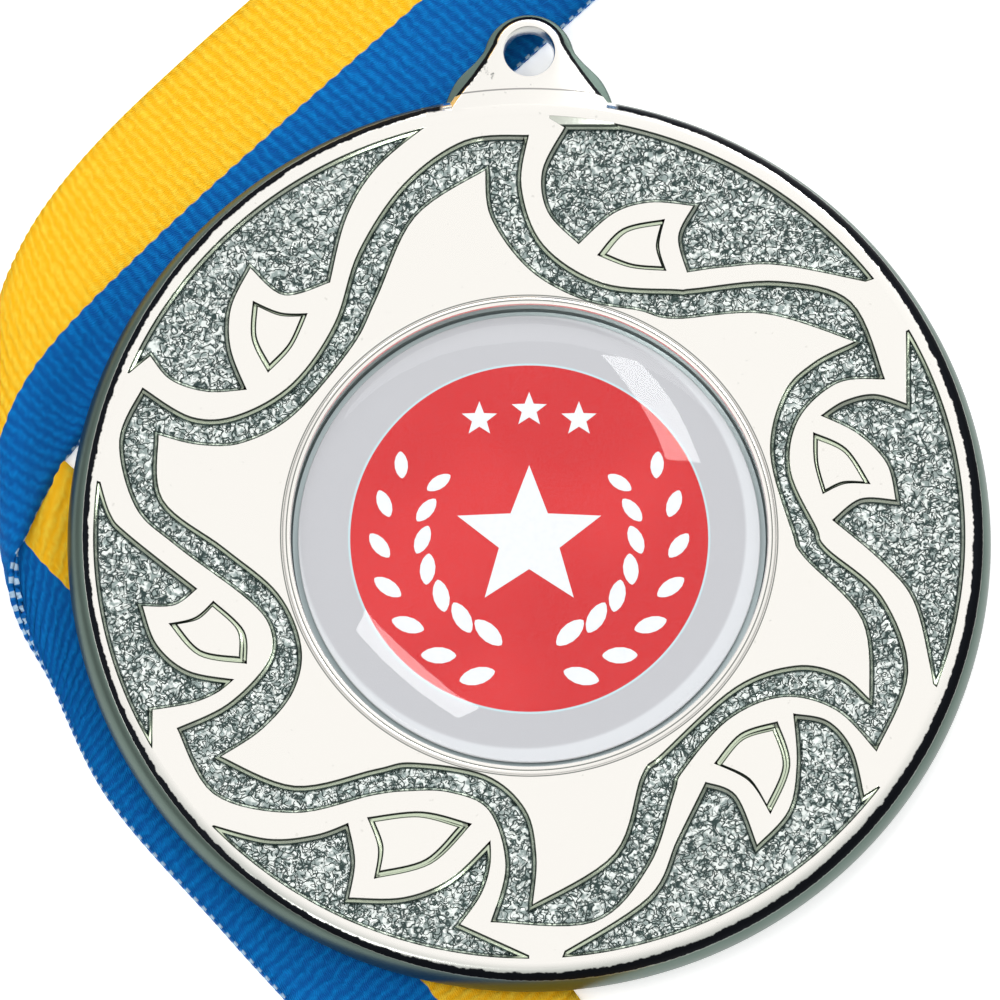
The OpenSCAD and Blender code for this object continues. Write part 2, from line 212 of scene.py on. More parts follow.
# Band, up the back: two points and the place where it joins the rim
BAND_BACK: Sequence[Row] = (
    ((-9.9, 17.9), (-8.2, 20.7), (-5.4, 23.1)),
    ((-7.7, 16.8), (-6.3, 19.4), (-2.9, 23.2)),
    ((-8.2, 17.5), (-7, 20.1), (-3.4, 23.3)),
    ((-8, 17), (-6.4, 20.2), (-1.5, 23.4)),
    ((-8.7, 18.4), (-7.6, 20.7), (-5.3, 23)),
    ((-10.8, 18.8), (-10.3, 20.2), (-8.9, 21.7)),
)
# Band, front: where it leaves the rim, the tip, two points, and the crook
BAND_FRONT: Sequence[Row] = (
    ((1.1, 23.4), (1.9, 22.9), (0.7, 20.5), (1, 18.2), (2.7, 16.4)),
    ((0.3, 23.4), (3.8, 21.4), (2.5, 20.2), (2, 18.6), (2.1, 17.1)),
    ((2.7, 23.3), (3.5, 22.9), (1.6, 21.1), (0.9, 19.2), (1.5, 17.4)),
    ((0, 23.4), (3.7, 21.7), (2.6, 20.1), (2.1, 18.5), (2.1, 17.1)),
    ((-0.2, 23.6), (1.7, 22.5), (1, 20.6), (0.8, 19.1), (1, 17.9)),
    ((-3, 23.3), (-1.6, 22.8), (-2.2, 21.2), (-1.8, 19.2), (-0.6, 17.4)),
)
# Fin: two points along the top, the tip, one point down its back, and the heel
FIN: Sequence[Row] = (
    ((4.6, 18.1), (6.6, 18.7), (8.9, 18.5), (8.1, 16.8), (8.6, 14.8)),
    ((4, 18.3), (6.2, 18.8), (8.2, 18.2), (7.2, 16.6), (7.5, 14.7)),
    ((3.8, 18.9), (6.3, 19.8), (8.8, 19.3), (7, 17), (7.2, 15.2)),
    ((4.3, 19.2), (6.8, 20.2), (9.7, 20.2), (9.4, 18.2), (9.8, 16.1)),
    ((2.7, 19.8), (4.8, 20.5), (7, 20.1), (6.2, 18.6), (6.4, 17.1)),
    ((1, 19.3), (3, 20.4), (5.4, 20.6), (5, 18.3), (6.9, 16.5)),
)
# Island in the fin: corner, side, corner, side, corner, side
ISLAND: Sequence[Row] = (
    ((3.7, 15.8), (5.1, 17.3), (7.4, 17.8), (7.1, 16.3), (7.5, 14.9), (5.5, 15.1)),
    ((2.7, 16.3), (4.4, 17.4), (6.8, 17.5), (6.1, 16.3), (6, 15), (4.2, 15.5)),
    ((2.3, 16.9), (4.1, 18.7), (7, 19.1), (6, 17.2), (6.1, 15.1), (3.9, 15.5)),
    ((3.1, 16.2), (5.3, 18.4), (8.4, 19.2), (8.2, 17.5), (8.8, 15.8), (5.8, 15.5)),
    ((1.4, 16.9), (3.1, 18.9), (5.5, 19.4), (5.1, 18), (5.4, 16.7), (3.1, 16.1)),
    ((0.8, 16.9), (2, 18.6), (3.9, 19.6), (4.1, 18), (4.8, 16.7), (2.7, 16.5)),
)
# Right side of the lug's rear and front layers, up from the foot, measured from the hole's centre
REAR_SIDE: Row = ((4.9, -4.2), (4.55, -2.6), (3.95, -1.3), (2.95, -0.25), (2.5, 0.3))
FRONT_SIDE: Row = ((4.75, -4.2), (4.0, -2.9), (3.1, -1.7), (2.25, -0.5), (1.85, 0.2))


@dataclass
class FlameDrawing:
    """The raised pattern's outlines, stretched from the drawn lip and field to the real ones."""

    lip_r: float
    field_r: float
    drawn_lip_r: float = 13.5
    drawn_field_r: float = 23.4
    steps: int = 8
    rim_overlap: float = 1.03
    flames: int = 6

    def place(self, k: int, row: Row) -> Loop:
        """Flame k's points, turned to its place and stretched to fit.

        Args:
            k: Number of the flame.
            row: The flame's drawn points.

        Returns:
            The placed points.
        """
        placed = []
        for x, y in row:
            p = turned(Vector((x, y)), -360 / self.flames * k)
            share = (p.length - self.drawn_lip_r) / (self.drawn_field_r - self.drawn_lip_r)
            placed.append(p.normalized() * (self.lip_r + share * (self.field_r - self.lip_r)))
        return placed

    def ring(self, rows: Sequence[Row], tip: int) -> Loop:
        """The closed outline that joins every flame's tip to the next one's.

        Args:
            rows: One row for each flame.
            tip: Place of the tip in a row.

        Returns:
            The outline, counterclockwise.
        """
        outline: Loop = []
        for k in range(self.flames):
            after = (k + 1) % self.flames
            stretch = self.place(k, rows[k][tip:]) + self.place(after, rows[after][: tip + 1])
            outline += smooth(stretch, self.steps)
        return outline[::-1]

    def band(self) -> Loop:
        """The outline of the band of waves that is joined to the rim.

        Returns:
            The outline, counterclockwise.
        """
        outline: Loop = []
        for k in range(self.flames):
            after = (k + 1) % self.flames
            front, fin = self.place(k, BAND_FRONT[k]), self.place(k, FIN[k])
            back = self.place(after, BAND_BACK[after])
            outline += [front[0] * self.rim_overlap, front[0]]
            for stretch in (front[1:5], [front[4], *fin[:3]], fin[2:5], [fin[4], *back]):
                outline += smooth(stretch, self.steps)
            outline.append(back[2] * self.rim_overlap)
        return outline[::-1]

    def island(self, k: int, share: float) -> Loop:
        """Flame k's three-cornered island, at a share of its groove's size.

        Args:
            k: Number of the flame.
            share: The outline's size as a share of the groove's.

        Returns:
            The outline, counterclockwise.
        """
        p = self.place(k, ISLAND[k])
        middle = (p[0] + p[2] + p[4]) / 3
        q = [middle + (v - middle) * share for v in p]
        outline: Loop = []
        for a in (0, 2, 4):
            outline += smooth([q[a], q[a + 1], q[(a + 2) % 6]], self.steps)
        return outline[::-1]


# ---- meshes ----


def spin_profile(bm: bmesh.types.BMesh, profile: Iterable[tuple[float, float]], steps: int) -> None:
    """Turns a profile of (radius, height) once round Z and closes it.

    Args:
        bm: The empty mesh that it is made in.
        profile: The section's points, in order.
        steps: Sides of the turned solid.
    """
    verts = [bm.verts.new((r, 0.0, z)) for r, z in profile]
    edges = [bm.edges.new(pair) for pair in zip(verts, verts[1:])]
    bmesh.ops.spin(
        bm, geom=verts + edges, cent=(0, 0, 0), axis=(0, 0, 1), dvec=(0, 0, 0),
        angle=TURN, steps=steps, use_merge=True,
    )
    bmesh.ops.remove_doubles(bm, verts=bm.verts, dist=1e-5)


def raise_plate(
    bm: bmesh.types.BMesh,
    loops: Sequence[Loop],
    rings: Sequence[tuple[float, float]],
    hole_share: float = 1.0,
) -> None:
    """Builds a closed plate from its top outline down.

    Args:
        bm: The mesh that it is added to.
        loops: The outer outline, then any holes.
        rings: (spread, height) of each ring of the wall, from the top face to the bottom face.
        hole_share: Share of the spread that the holes' walls take.
    """
    made = bmesh.new()
    sources: dict[bmesh.types.BMVert, tuple[int, int]] = {}
    directed = [loop if (area_of(loop) > 0) == (n == 0) else loop[::-1] for n, loop in enumerate(loops)]
    shares = [1.0] + [hole_share] * (len(loops) - 1)
    edges = []
    for n, loop in enumerate(directed):
        verts = [made.verts.new((*p, rings[0][1])) for p in spread(loop, rings[0][0] * shares[n])]
        sources.update({vert: (n, i) for i, vert in enumerate(verts)})
        edges += [made.edges.new(pair) for pair in zip(verts, verts[1:] + verts[:1])]
    bmesh.ops.triangle_fill(made, use_beauty=True, edges=edges, normal=(0, 0, 1))
    for out, height in rings[1:]:
        wide = [spread(loop, out * share) for loop, share in zip(directed, shares)]
        geom = bmesh.ops.extrude_edge_only(made, edges=edges)["geom"]
        fresh = [g for g in geom if isinstance(g, bmesh.types.BMVert)]
        above = {v: next(o for o in (e.other_vert(v) for e in v.link_edges) if o in sources) for v in fresh}
        sources = {vert: sources[above[vert]] for vert in fresh}
        for vert, (n, i) in sources.items():
            vert.co = (*wide[n][i], height)
        edges = [g for g in geom if isinstance(g, bmesh.types.BMEdge)]
    bmesh.ops.triangle_fill(made, use_beauty=True, edges=edges, normal=(0, 0, -1))
    bmesh.ops.recalc_face_normals(made, faces=made.faces)
    mesh = bpy.data.meshes.new("plate")
    made.to_mesh(mesh)
    made.free()
    bm.from_mesh(mesh)
    bpy.data.meshes.remove(mesh)


def lay_strip(bm: bmesh.types.BMesh, stations: Sequence[Station], width: float) -> None:
    """Lays a grid along stations, with a weave map in millimetres.

    Args:
        bm: The empty mesh that it is made in.
        stations: The points across the strip, one list for each place along it.
        width: The strip's width.
    """
    along, across = len(stations) - 1, len(stations[0]) - 1
    middle = [station[across // 2] for station in stations]
    run = [0.0]
    for a, b in zip(middle, middle[1:]):
        run.append(run[-1] + (b - a).length)
    bmesh.ops.create_grid(bm, x_segments=along, y_segments=across, size=0.5)
    spots = {v: (round((v.co.x + 0.5) * along), round((v.co.y + 0.5) * across)) for v in bm.verts}
    weave = bm.loops.layers.uv.new("weave")
    for face in bm.faces:
        for corner in face.loops:
            i, j = spots[corner.vert]
            corner[weave].uv = (width * j / across, run[i])
    for vert, (i, j) in spots.items():
        vert.co = stations[i][j]


def link_new(name: str, data: bpy.types.ID) -> bpy.types.Object:
    """Makes an object of some data and links it to the scene.

    Args:
        name: The object's name.
        data: Its mesh, curve, camera or light.

    Returns:
        The object.
    """
    made = bpy.data.objects.new(name, data)
    bpy.context.scene.collection.objects.link(made)
    return made


def into_object(
    bm: bmesh.types.BMesh, name: str, sharp: float = 40.0, fix_normals: bool = True
) -> bpy.types.Object:
    """Turns a mesh in millimetres into a named object in metres.

    Args:
        bm: The mesh, which is freed.
        name: The piece's name.
        sharp: Edges that turn more than this many degrees stay crisp.
        fix_normals: Whether the faces are turned outwards first.

    Returns:
        The object, at the origin.
    """
    if fix_normals:
        bmesh.ops.recalc_face_normals(bm, faces=bm.faces)
    bmesh.ops.scale(bm, vec=(MM, MM, MM), verts=bm.verts)
    mesh = bpy.data.meshes.new(name)
    bm.to_mesh(mesh)
    bm.free()
    mesh.shade_smooth()
    mesh.set_sharp_from_angle(angle=math.radians(sharp))
    return link_new(name, mesh)


def add_wall(piece: bpy.types.Object, thickness: float) -> None:
    """Gives a sheet its thickness in millimetres, as a modifier, half on each side.

    Args:
        piece: The sheet.
        thickness: Thickness of the wall.
    """
    wall = piece.modifiers.new("wall", "SOLIDIFY")
    wall.thickness = thickness * MM
    wall.offset = 0.0


def dress(piece: bpy.types.Object, material: bpy.types.Material, slot: Slot, body: Body, *nodes: str) -> None:
    """Gives a piece its finish, its body, and the CAD nodes that it stands for.

    Args:
        piece: The piece.
        material: Its finish.
        slot: The finish's name in the record. It is not used.
        body: The body that it moves with.
        *nodes: CAD nodes that it takes the place of.
    """
    piece.data.materials.clear()
    piece.data.materials.append(material)
    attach(piece, body.value)
    if nodes:
        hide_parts(*nodes)
    LOG.info("%s: %d faces", piece.name, len(piece.data.polygons))


# ---- finishes ----


def paint(red: int, green: int, blue: int) -> Colour:
    """A display colour from 0 to 255 as the shader's linear one.

    Args:
        red: Red, as displayed.
        green: Green, as displayed.
        blue: Blue, as displayed.

    Returns:
        The linear colour, with full cover.
    """

    def linear(level: int) -> float:
        """One level as a linear share."""
        share = level / 255
        return share / 12.92 if share <= 0.04045 else ((share + 0.055) / 1.055) ** 2.4

    return linear(red), linear(green), linear(blue), 1.0


class Graph:
    """One material, built a node at a time around its Principled shader."""

    def __init__(self, name: str) -> None:
        """Starts an empty material.

        Args:
            name: The material's name.
        """
        self.material = bpy.data.materials.new(name)
        self.material.use_nodes = True
        self.tree = self.material.node_tree
        self.shader = self.tree.nodes["Principled BSDF"]

    def feed(self, value: Feed, socket: bpy.types.NodeSocket) -> None:
        """Links a socket to another, or sets its value.

        Args:
            value: A socket, number or colour.
            socket: The socket that it feeds.
        """
        if isinstance(value, bpy.types.NodeSocket):
            self.tree.links.new(value, socket)
        else:
            socket.default_value = value

    def node(self, kind: str, feeds: dict[str | int, Feed], **settings: object) -> bpy.types.Node:
        """Adds a node, with its settings and what feeds it.

        Args:
            kind: The node's type.
            feeds: What feeds each input, by the input's name or number.
            **settings: The node's own settings.

        Returns:
            The node.
        """
        made = self.tree.nodes.new(kind)
        for name, value in settings.items():
            setattr(made, name, value)
        for socket, value in feeds.items():
            self.feed(value, made.inputs[socket])
        return made

    def shade(self, feeds: dict[str, Feed]) -> None:
        """Feeds the Principled shader's sockets."""
        for socket, value in feeds.items():
            self.feed(value, self.shader.inputs[socket])

    def place(self) -> Feed:
        """The point on the piece, in millimetres."""
        spot = self.node("ShaderNodeTexCoord", {}).outputs["Object"]
        return self.node("ShaderNodeVectorMath", {0: spot, "Scale": 1 / MM}, operation="SCALE").outputs[0]

    def weave(self) -> Feed:
        """The point on the piece's own weave map, in millimetres."""
        return self.node("ShaderNodeUVMap", {}, uv_map="weave").outputs[0]

    def split(self, vector: Feed) -> tuple[Feed, Feed, Feed]:
        """A vector's three parts."""
        parts = self.node("ShaderNodeSeparateXYZ", {0: vector}).outputs
        return parts[0], parts[1], parts[2]

    def math(self, operation: str, a: Feed, b: Feed = 0.0) -> Feed:
        """One step of arithmetic."""
        return self.node("ShaderNodeMath", {0: a, 1: b}, operation=operation).outputs[0]

    def times(self, *values: Feed) -> Feed:
        """The product of several values.

        Args:
            *values: Sockets or numbers.

        Returns:
            Their product.
        """
        product = values[0]
        for value in values[1:]:
            product = self.math("MULTIPLY", product, value)
        return product

    def radius(self, x: Feed, y: Feed) -> Feed:
        """Distance from the Z axis."""
        return self.math("SQRT", self.math("ADD", self.times(x, x), self.times(y, y)))

    def step(self, value: Feed, start: float, end: float) -> Feed:
        """0 before start, 1 after end, and smooth between them. A start above end turns it round.

        Args:
            value: What is compared.
            start: Where the result is still 0.
            end: Where the result has come to 1.

        Returns:
            The share, from 0 to 1.
        """
        low, high = min(start, end), max(start, end)
        first = 0.0 if start < end else 1.0
        feeds = {"Value": value, "From Min": low, "From Max": high, "To Min": first, "To Max": 1.0 - first}
        return self.node("ShaderNodeMapRange", feeds, interpolation_type="SMOOTHSTEP").outputs[0]

    def band(self, value: Feed, rise: tuple[float, float], fall: tuple[float, float]) -> Feed:
        """1 between a rise and a fall, each given as its two ends, and 0 outside them."""
        return self.times(self.step(value, *rise), self.step(value, *fall))

    def off(self, value: Feed, middle: float) -> Feed:
        """Distance of a value from a middle one."""
        return self.math("ABSOLUTE", self.math("SUBTRACT", value, middle))

    def ring(self, value: Feed, middle: float, half: float) -> Feed:
        """1 close to a middle value, and 0 from half a width away."""
        return self.step(self.off(value, middle), half, half * 0.4)

    def centred(self, value: Feed, size: Feed) -> Feed:
        """A value of 0 to 1 moved to swing about 0, and sized."""
        return self.times(self.math("SUBTRACT", value, 0.5), size)

    def mix(self, share: Feed, a: Feed, b: Feed) -> Feed:
        """Colour a where share is 0 and b where it is 1."""
        return self.node("ShaderNodeMix", {0: share, 6: a, 7: b}, data_type="RGBA").outputs[2]

    def noise(self, place: Feed, scale: float, detail: float = 2.0, distortion: float = 0.0) -> Feed:
        """Smooth noise from 0 to 1, with scale cells to a millimetre."""
        feeds = {"Vector": place, "Scale": scale, "Detail": detail, "Distortion": distortion}
        return self.node("ShaderNodeTexNoise", feeds).outputs[0]

    def wave(self, value: Feed, pitch: float) -> Feed:
        """A wave from 0 to 1 with the given pitch."""
        turn = self.times(value, TURN / pitch)
        return self.math("ADD", self.times(self.math("COSINE", turn), 0.5), 0.5)

    def bump(self, height: Feed, depth: float, strength: float = 1.0) -> Feed:
        """A normal from a height of 0 to 1 that stands for a depth in millimetres."""
        feeds = {"Height": height, "Distance": depth * MM, "Strength": strength}
        return self.node("ShaderNodeBump", feeds).outputs[0]


@dataclass(frozen=True)
class AntiqueSilver:
    """Silver plate with polished heights, a pebbled ground with dark veins, and an oxidised edge.

    Each shift moves a worn line out by a share of x and a share of y squared.
    """

    medal_t: float
    relief: float
    face_r: float
    lip_r: float
    hole_y: float
    hole_r: float
    polish: Colour = paint(250, 247, 241)
    pebble: Colour = paint(236, 242, 238)
    dull_pebble: Colour = paint(150, 163, 160)
    vein: Colour = paint(58, 72, 70)
    line: Colour = paint(78, 86, 80)
    slope: Colour = paint(232, 238, 224)
    soot: Colour = paint(22, 24, 28)
    satin: Colour = paint(106, 122, 114)
    dark_satin: Colour = paint(84, 98, 91)
    speck: Colour = paint(196, 194, 186)
    seat: Colour = paint(168, 180, 182)
    vein_pitch: float = 0.4
    vein_depth: float = 0.05
    ground_h: float = 0.11
    lip_ring_half: float = 0.05
    ragged: float = 0.16
    soot_shift: tuple[float, float] = (0.0035, 0.0007)
    satin_shift: tuple[float, float] = (0.008, 0.0006)
    side_w: float = 0.92
    lug_half_w: float = 4.6
    lug_arc_r: float = 25.08
    lug_arc_half: float = 0.06
    bore_land: float = 0.15
    rim_shade_share: float = 0.55

    def build(self) -> bpy.types.Material:
        """Makes the material.

        Returns:
            The material.
        """
        g = Graph(Slot.SILVER.value)
        place = g.place()
        x, y, z = g.split(place)
        r = g.radius(x, y)
        top, floor = self.medal_t, self.medal_t - self.relief
        veins = self.veins(g, place)
        ground = g.mix(g.step(g.noise(place, 3.0, 1.0), 0.38, 0.6), self.dull_pebble, self.pebble)
        ground = g.mix(veins, ground, self.vein)
        # The polished top, the dark brow under its edge, the slope, its dark foot, and the sunk ground
        on_field = g.band(r, (self.lip_r - 0.3, self.lip_r - 0.28), (self.face_r, self.face_r - 0.02))
        on_ground = g.times(on_field, g.step(z, floor + self.ground_h, floor + self.ground_h - 0.04))
        foot = g.times(on_field, g.band(z, (floor + 0.04, floor + 0.07), (floor + 0.17, floor + 0.12)))
        brow = g.times(on_field, g.band(z, (top - 0.13, top - 0.1), (top - 0.004, top - 0.03)))
        on_slope = g.times(on_field, g.step(z, top - 0.004, top - 0.02))
        specks = g.times(g.step(g.noise(place, 2.6, 4.0), 0.68, 0.75), 0.25)
        colour = g.mix(specks, self.polish, self.speck)
        colour = g.mix(on_slope, colour, self.slope)
        colour = g.mix(brow, colour, self.line)
        colour = g.mix(on_ground, colour, ground)
        colour = g.mix(foot, colour, self.vein)
        on_top = g.step(z, top - 0.06, top - 0.03)
        outer_ring = g.ring(r, self.lip_r + 0.1, self.lip_ring_half)
        inner_ring = g.ring(r, self.lip_r - 0.2, self.lip_ring_half)
        rings = g.math("MAXIMUM", outer_ring, inner_ring)
        colour = g.mix(g.times(rings, on_top, 0.8), colour, self.line)
        in_seat = g.step(r, self.lip_r - 0.44, self.lip_r - 0.47)
        colour = g.mix(in_seat, colour, self.seat)
        side, soot, painted_rim_shade = self.edge(g, place)
        # Painted shade: the lower rim is darkened into the satin tone before the soot line
        colour = g.mix(painted_rim_shade, colour, self.satin)
        colour = g.mix(side, colour, g.mix(g.noise(place, 0.16), self.satin, self.dark_satin))
        colour = g.mix(soot, colour, self.soot)
        dull = g.math("MAXIMUM", g.times(on_ground, 0.5), g.math("MAXIMUM", side, in_seat))
        rough = g.math("ADD", g.times(dull, 0.2), g.math("ADD", g.times(soot, 0.3), 0.2))
        pebbles = g.times(g.math("SUBTRACT", 1.0, veins), on_ground)
        height = g.math("ADD", pebbles, g.times(g.noise(place, 5.0), 0.06))
        g.shade({
            "Base Color": colour, "Metallic": 1.0, "Roughness": rough,
            "Normal": g.bump(height, self.vein_depth, 0.8),
        })
        return g.material

    def veins(self, g: Graph, place: Feed) -> Feed:
        """Worm-like lines where two noises cross their middle value.

        Args:
            g: The material being built.
            place: The point on the piece, in millimetres.

        Returns:
            The share of vein, from 0 to 1.
        """
        moved = g.node("ShaderNodeVectorMath", {0: place, 1: (40.0, 17.0, 5.0)}, operation="ADD").outputs[0]
        first = g.noise(place, 1 / self.vein_pitch, 0.0, 0.7)
        second = g.noise(moved, 1.3 / self.vein_pitch, 0.0, 0.9)
        lines = [g.step(g.off(noises, 0.5), 0.075, 0.01) for noises in (first, second)]
        gaps = g.step(g.noise(place, 1.3), 0.3, 0.5)
        return g.math("MAXIMUM", lines[0], g.times(lines[1], gaps))

    def edge(self, g: Graph, place: Feed) -> tuple[Feed, Feed, Feed]:
        """Where the satin side and the sooty line above it are.

        The plating's worn line is uneven: it lies further out to the right and below than to the left.

        Args:
            g: The material being built.
            place: The point on the piece.

        Returns:
            The share of satin, the share of soot, and the share of painted shade that darkens the lower rim
            towards the soot.
        """
        x, y, z = g.split(place)
        r, top = g.radius(x, y), self.medal_t
        coarse = g.centred(g.noise(place, 1.1, 3.0), self.ragged * 1.4)
        fine = g.centred(g.noise(place, 4.5, 2.0), self.ragged)
        rag = g.math("ADD", coarse, fine)
        start, stop = (
            g.math("SUBTRACT", r, g.math("ADD", g.times(x, drift), g.times(y, y, bulge)))
            for drift, bulge in (self.soot_shift, self.satin_shift)
        )
        inner = g.step(g.math("ADD", start, rag), self.face_r - 0.2, self.face_r - 0.12)
        satin = g.step(g.math("ADD", stop, g.times(fine, 0.4)), self.face_r + 0.2, self.face_r + 0.3)
        low_side = g.step(z, top / 2 + 0.1, top / 2)
        outside = g.step(r, self.face_r - 0.6, self.face_r - 0.5)
        off_lug = g.math("MAXIMUM", g.step(y, self.face_r - 0.5, self.face_r - 0.7),
                         g.step(g.math("ABSOLUTE", x), self.lug_half_w, self.lug_half_w + 0.3))
        beyond = g.step(r, self.face_r + self.side_w, self.face_r + self.side_w + 0.06)
        ragged_z = g.math("ADD", z, rag)
        lug_side = g.times(beyond, g.step(ragged_z, top - 0.06, top - 0.12))
        lug_soot = g.times(lug_side, g.step(ragged_z, top - 0.42, top - 0.34))
        rim_side = g.math("MAXIMUM", g.times(satin, off_lug), low_side)
        side = g.times(outside, g.math("MAXIMUM", rim_side, lug_side))
        arc = g.times(g.ring(r, self.lug_arc_r, self.lug_arc_half), g.step(z, top - 0.1, top - 0.05))
        soot = g.times(inner, off_lug, outside, g.step(side, 0.6, 0.4))
        from_hole = g.radius(x, g.math("SUBTRACT", y, self.hole_y))
        land = self.hole_r + self.bore_land
        off_bore = g.step(from_hole, land, land + 0.05)
        side, lug_soot = g.times(side, off_bore), g.times(lug_soot, off_bore)
        low_rim = g.step(y, -4.0, -20.0)
        # Painted shade on the lower rim, growing towards the soot line
        painted_rim_shade = g.times(g.step(start, self.face_r - 0.7, self.face_r - 0.1), low_rim, outside, self.rim_shade_share)
        soot = g.math("MAXIMUM", g.math("MAXIMUM", soot, lug_soot), g.times(arc, 0.7))
        return side, soot, painted_rim_shade


@dataclass(frozen=True)
class PrintedLabel:
    """Grey vinyl with a red disc and a pale outline round it, and a painted light ring inside its edge."""

    red_r: float
    grey_r: float
    painted_edge_light: Colour = paint(226, 227, 229)
    grey: Colour = paint(203, 202, 204)
    red: Colour = paint(226, 38, 40)
    deep_red: Colour = paint(216, 22, 27)
    outline: Colour = paint(205, 228, 232)
    dot: Colour = paint(184, 185, 190)
    dot_depth: float = 0.004

    def build(self) -> bpy.types.Material:
        """Makes the material.

        Returns:
            The material.
        """
        g = Graph(Slot.PRINT.value)
        place = g.place()
        x, y, _ = g.split(place)
        r = g.radius(x, y)
        # Painted light: the grey is lighter in a ring inside its edge, wider towards the lower right, standing
        # in for light that the dome's edge bends onto the label
        edge_light_reach = g.math("ADD", r, g.times(g.math("SUBTRACT", x, y), 0.03))
        dots = g.noise(place, 9.0, 1.0)
        disc = g.mix(g.step(g.noise(place, 0.12, 1.0), 0.35, 0.65), self.red, self.deep_red)
        disc = g.mix(g.times(dots, 0.12), disc, self.grey)
        ground = g.mix(g.times(dots, 0.3), self.grey, self.dot)
        ground = g.mix(g.step(edge_light_reach, self.grey_r - 0.55, self.grey_r - 0.3), ground, self.painted_edge_light)
        colour = g.mix(g.step(r, self.red_r - 0.13, self.red_r - 0.09), disc, self.outline)
        colour = g.mix(g.step(r, self.red_r - 0.02, self.red_r + 0.03), colour, ground)
        g.shade({
            "Base Color": colour, "Roughness": 0.42, "Specular IOR Level": 0.0,
            "Normal": g.bump(dots, self.dot_depth),
        })
        return g.material


@dataclass(frozen=True)
class PlainFinish:
    """A finish of two tones in fine or coarse grain."""

    name: str
    light: Colour
    dark: Colour
    grain: float
    depth: float
    roughness: float
    metallic: float = 0.0
    sheen: float = 0.0

    def build(self) -> bpy.types.Material:
        """Makes the material.

        Returns:
            The material.
        """
        g = Graph(self.name)
        grain = g.noise(g.place(), self.grain, 4.0)
        rough = g.math("ADD", g.times(grain, 0.2), self.roughness - 0.1)
        g.shade({
            "Base Color": g.mix(grain, self.dark, self.light), "Roughness": rough, "Metallic": self.metallic,
            "Sheen Weight": self.sheen, "Normal": g.bump(grain, self.depth),
        })
        return g.material


@dataclass(frozen=True)
class ClearResin:
    """Water-clear cast resin: what is under it shows, and its surface only reflects."""

    ior: float = 1.42
    tint: Colour = (0.985, 0.99, 0.995, 1.0)
    gloss_roughness: float = 0.03

    def build(self) -> bpy.types.Material:
        """Makes the material.

        Returns:
            The material.
        """
        g = Graph(Slot.RESIN.value)
        g.tree.nodes.remove(g.shader)
        through = g.node("ShaderNodeBsdfTransparent", {"Color": self.tint})
        swirl = g.bump(g.noise(g.place(), 0.25, 1.0), 0.02)
        gloss = g.node("ShaderNodeBsdfAnisotropic", {"Roughness": self.gloss_roughness, "Normal": swirl})
        fresnel = g.node("ShaderNodeFresnel", {"IOR": self.ior}).outputs[0]
        inside = g.node("ShaderNodeNewGeometry", {}).outputs["Backfacing"]
        outer_only = g.times(fresnel, g.math("SUBTRACT", 1.0, inside))
        both = g.node("ShaderNodeMixShader", {0: outer_only, 1: through.outputs[0], 2: gloss.outputs[0]})
        out = g.tree.nodes["Material Output"]
        g.tree.links.new(both.outputs[0], out.inputs["Surface"])
        return g.material


@dataclass(frozen=True)
class RibbedWeave:
    """Ribbed ribbon, half yellow and half blue, with looped edges and painted highlights on its ribs."""

    width: float
    rib_pitch: float
    thread_pitch: float = 0.115
    beat_pitch: float = 1.62
    seam_sway: float = 0.07
    seam_blur: float = 0.04
    loop_w: float = 0.12
    depth: float = 0.07
    yellow: Colour = paint(255, 184, 0)
    yellow_highlight: Colour = paint(255, 220, 70)
    blue: Colour = paint(0, 80, 158)
    blue_highlight: Colour = paint(0, 132, 212)
    loop_tint: Colour = paint(206, 232, 244)

    def build(self) -> bpy.types.Material:
        """Makes the material.

        Returns:
            The material.
        """
        g = Graph(Slot.WEAVE.value)
        weave = g.weave()
        u, v, _ = g.split(weave)
        middle = self.width / 2
        brick = g.centred(g.noise(weave, 1.6, 2.0), self.rib_pitch)
        rib = g.wave(g.math("ADD", g.math("ADD", v, g.times(u, 0.1)), brick), self.rib_pitch)
        slant = g.math("ADD", u, g.times(v, 0.3))
        thread = g.wave(g.math("ADD", slant, g.times(g.noise(weave, 2.5), 0.3)), self.thread_pitch)
        cloud = g.noise(weave, 3.0, 4.0)
        # Painted highlight: the crests of the ribs and threads are painted lighter, varied by a random cloud of
        # tone
        rib_highlight_and_tone = g.math("ADD", g.times(rib, cloud, 0.9), g.times(thread, cloud, 0.6))
        sway = g.centred(g.wave(v, self.beat_pitch * self.rib_pitch), self.seam_sway)
        to_blue = g.step(g.math("ADD", u, sway), middle - self.seam_blur, middle + self.seam_blur)
        yellow = g.mix(rib_highlight_and_tone, self.yellow, self.yellow_highlight)
        blue = g.mix(rib_highlight_and_tone, self.blue, self.blue_highlight)
        colour = g.mix(to_blue, yellow, blue)
        at_edge = g.step(g.off(u, middle), middle - self.loop_w, middle - self.loop_w / 3)
        loops = g.times(at_edge, g.step(g.wave(v, self.rib_pitch), 0.45, 0.75))
        colour = g.mix(g.times(loops, to_blue, 0.65), colour, self.loop_tint)
        height = g.math("ADD", g.times(rib, 0.7), g.times(thread, 0.3))
        g.shade({
            "Base Color": colour, "Roughness": 0.7, "Specular IOR Level": 0.12,
            "Normal": g.bump(height, self.depth),
        })
        return g.material


# ---- the medal ----


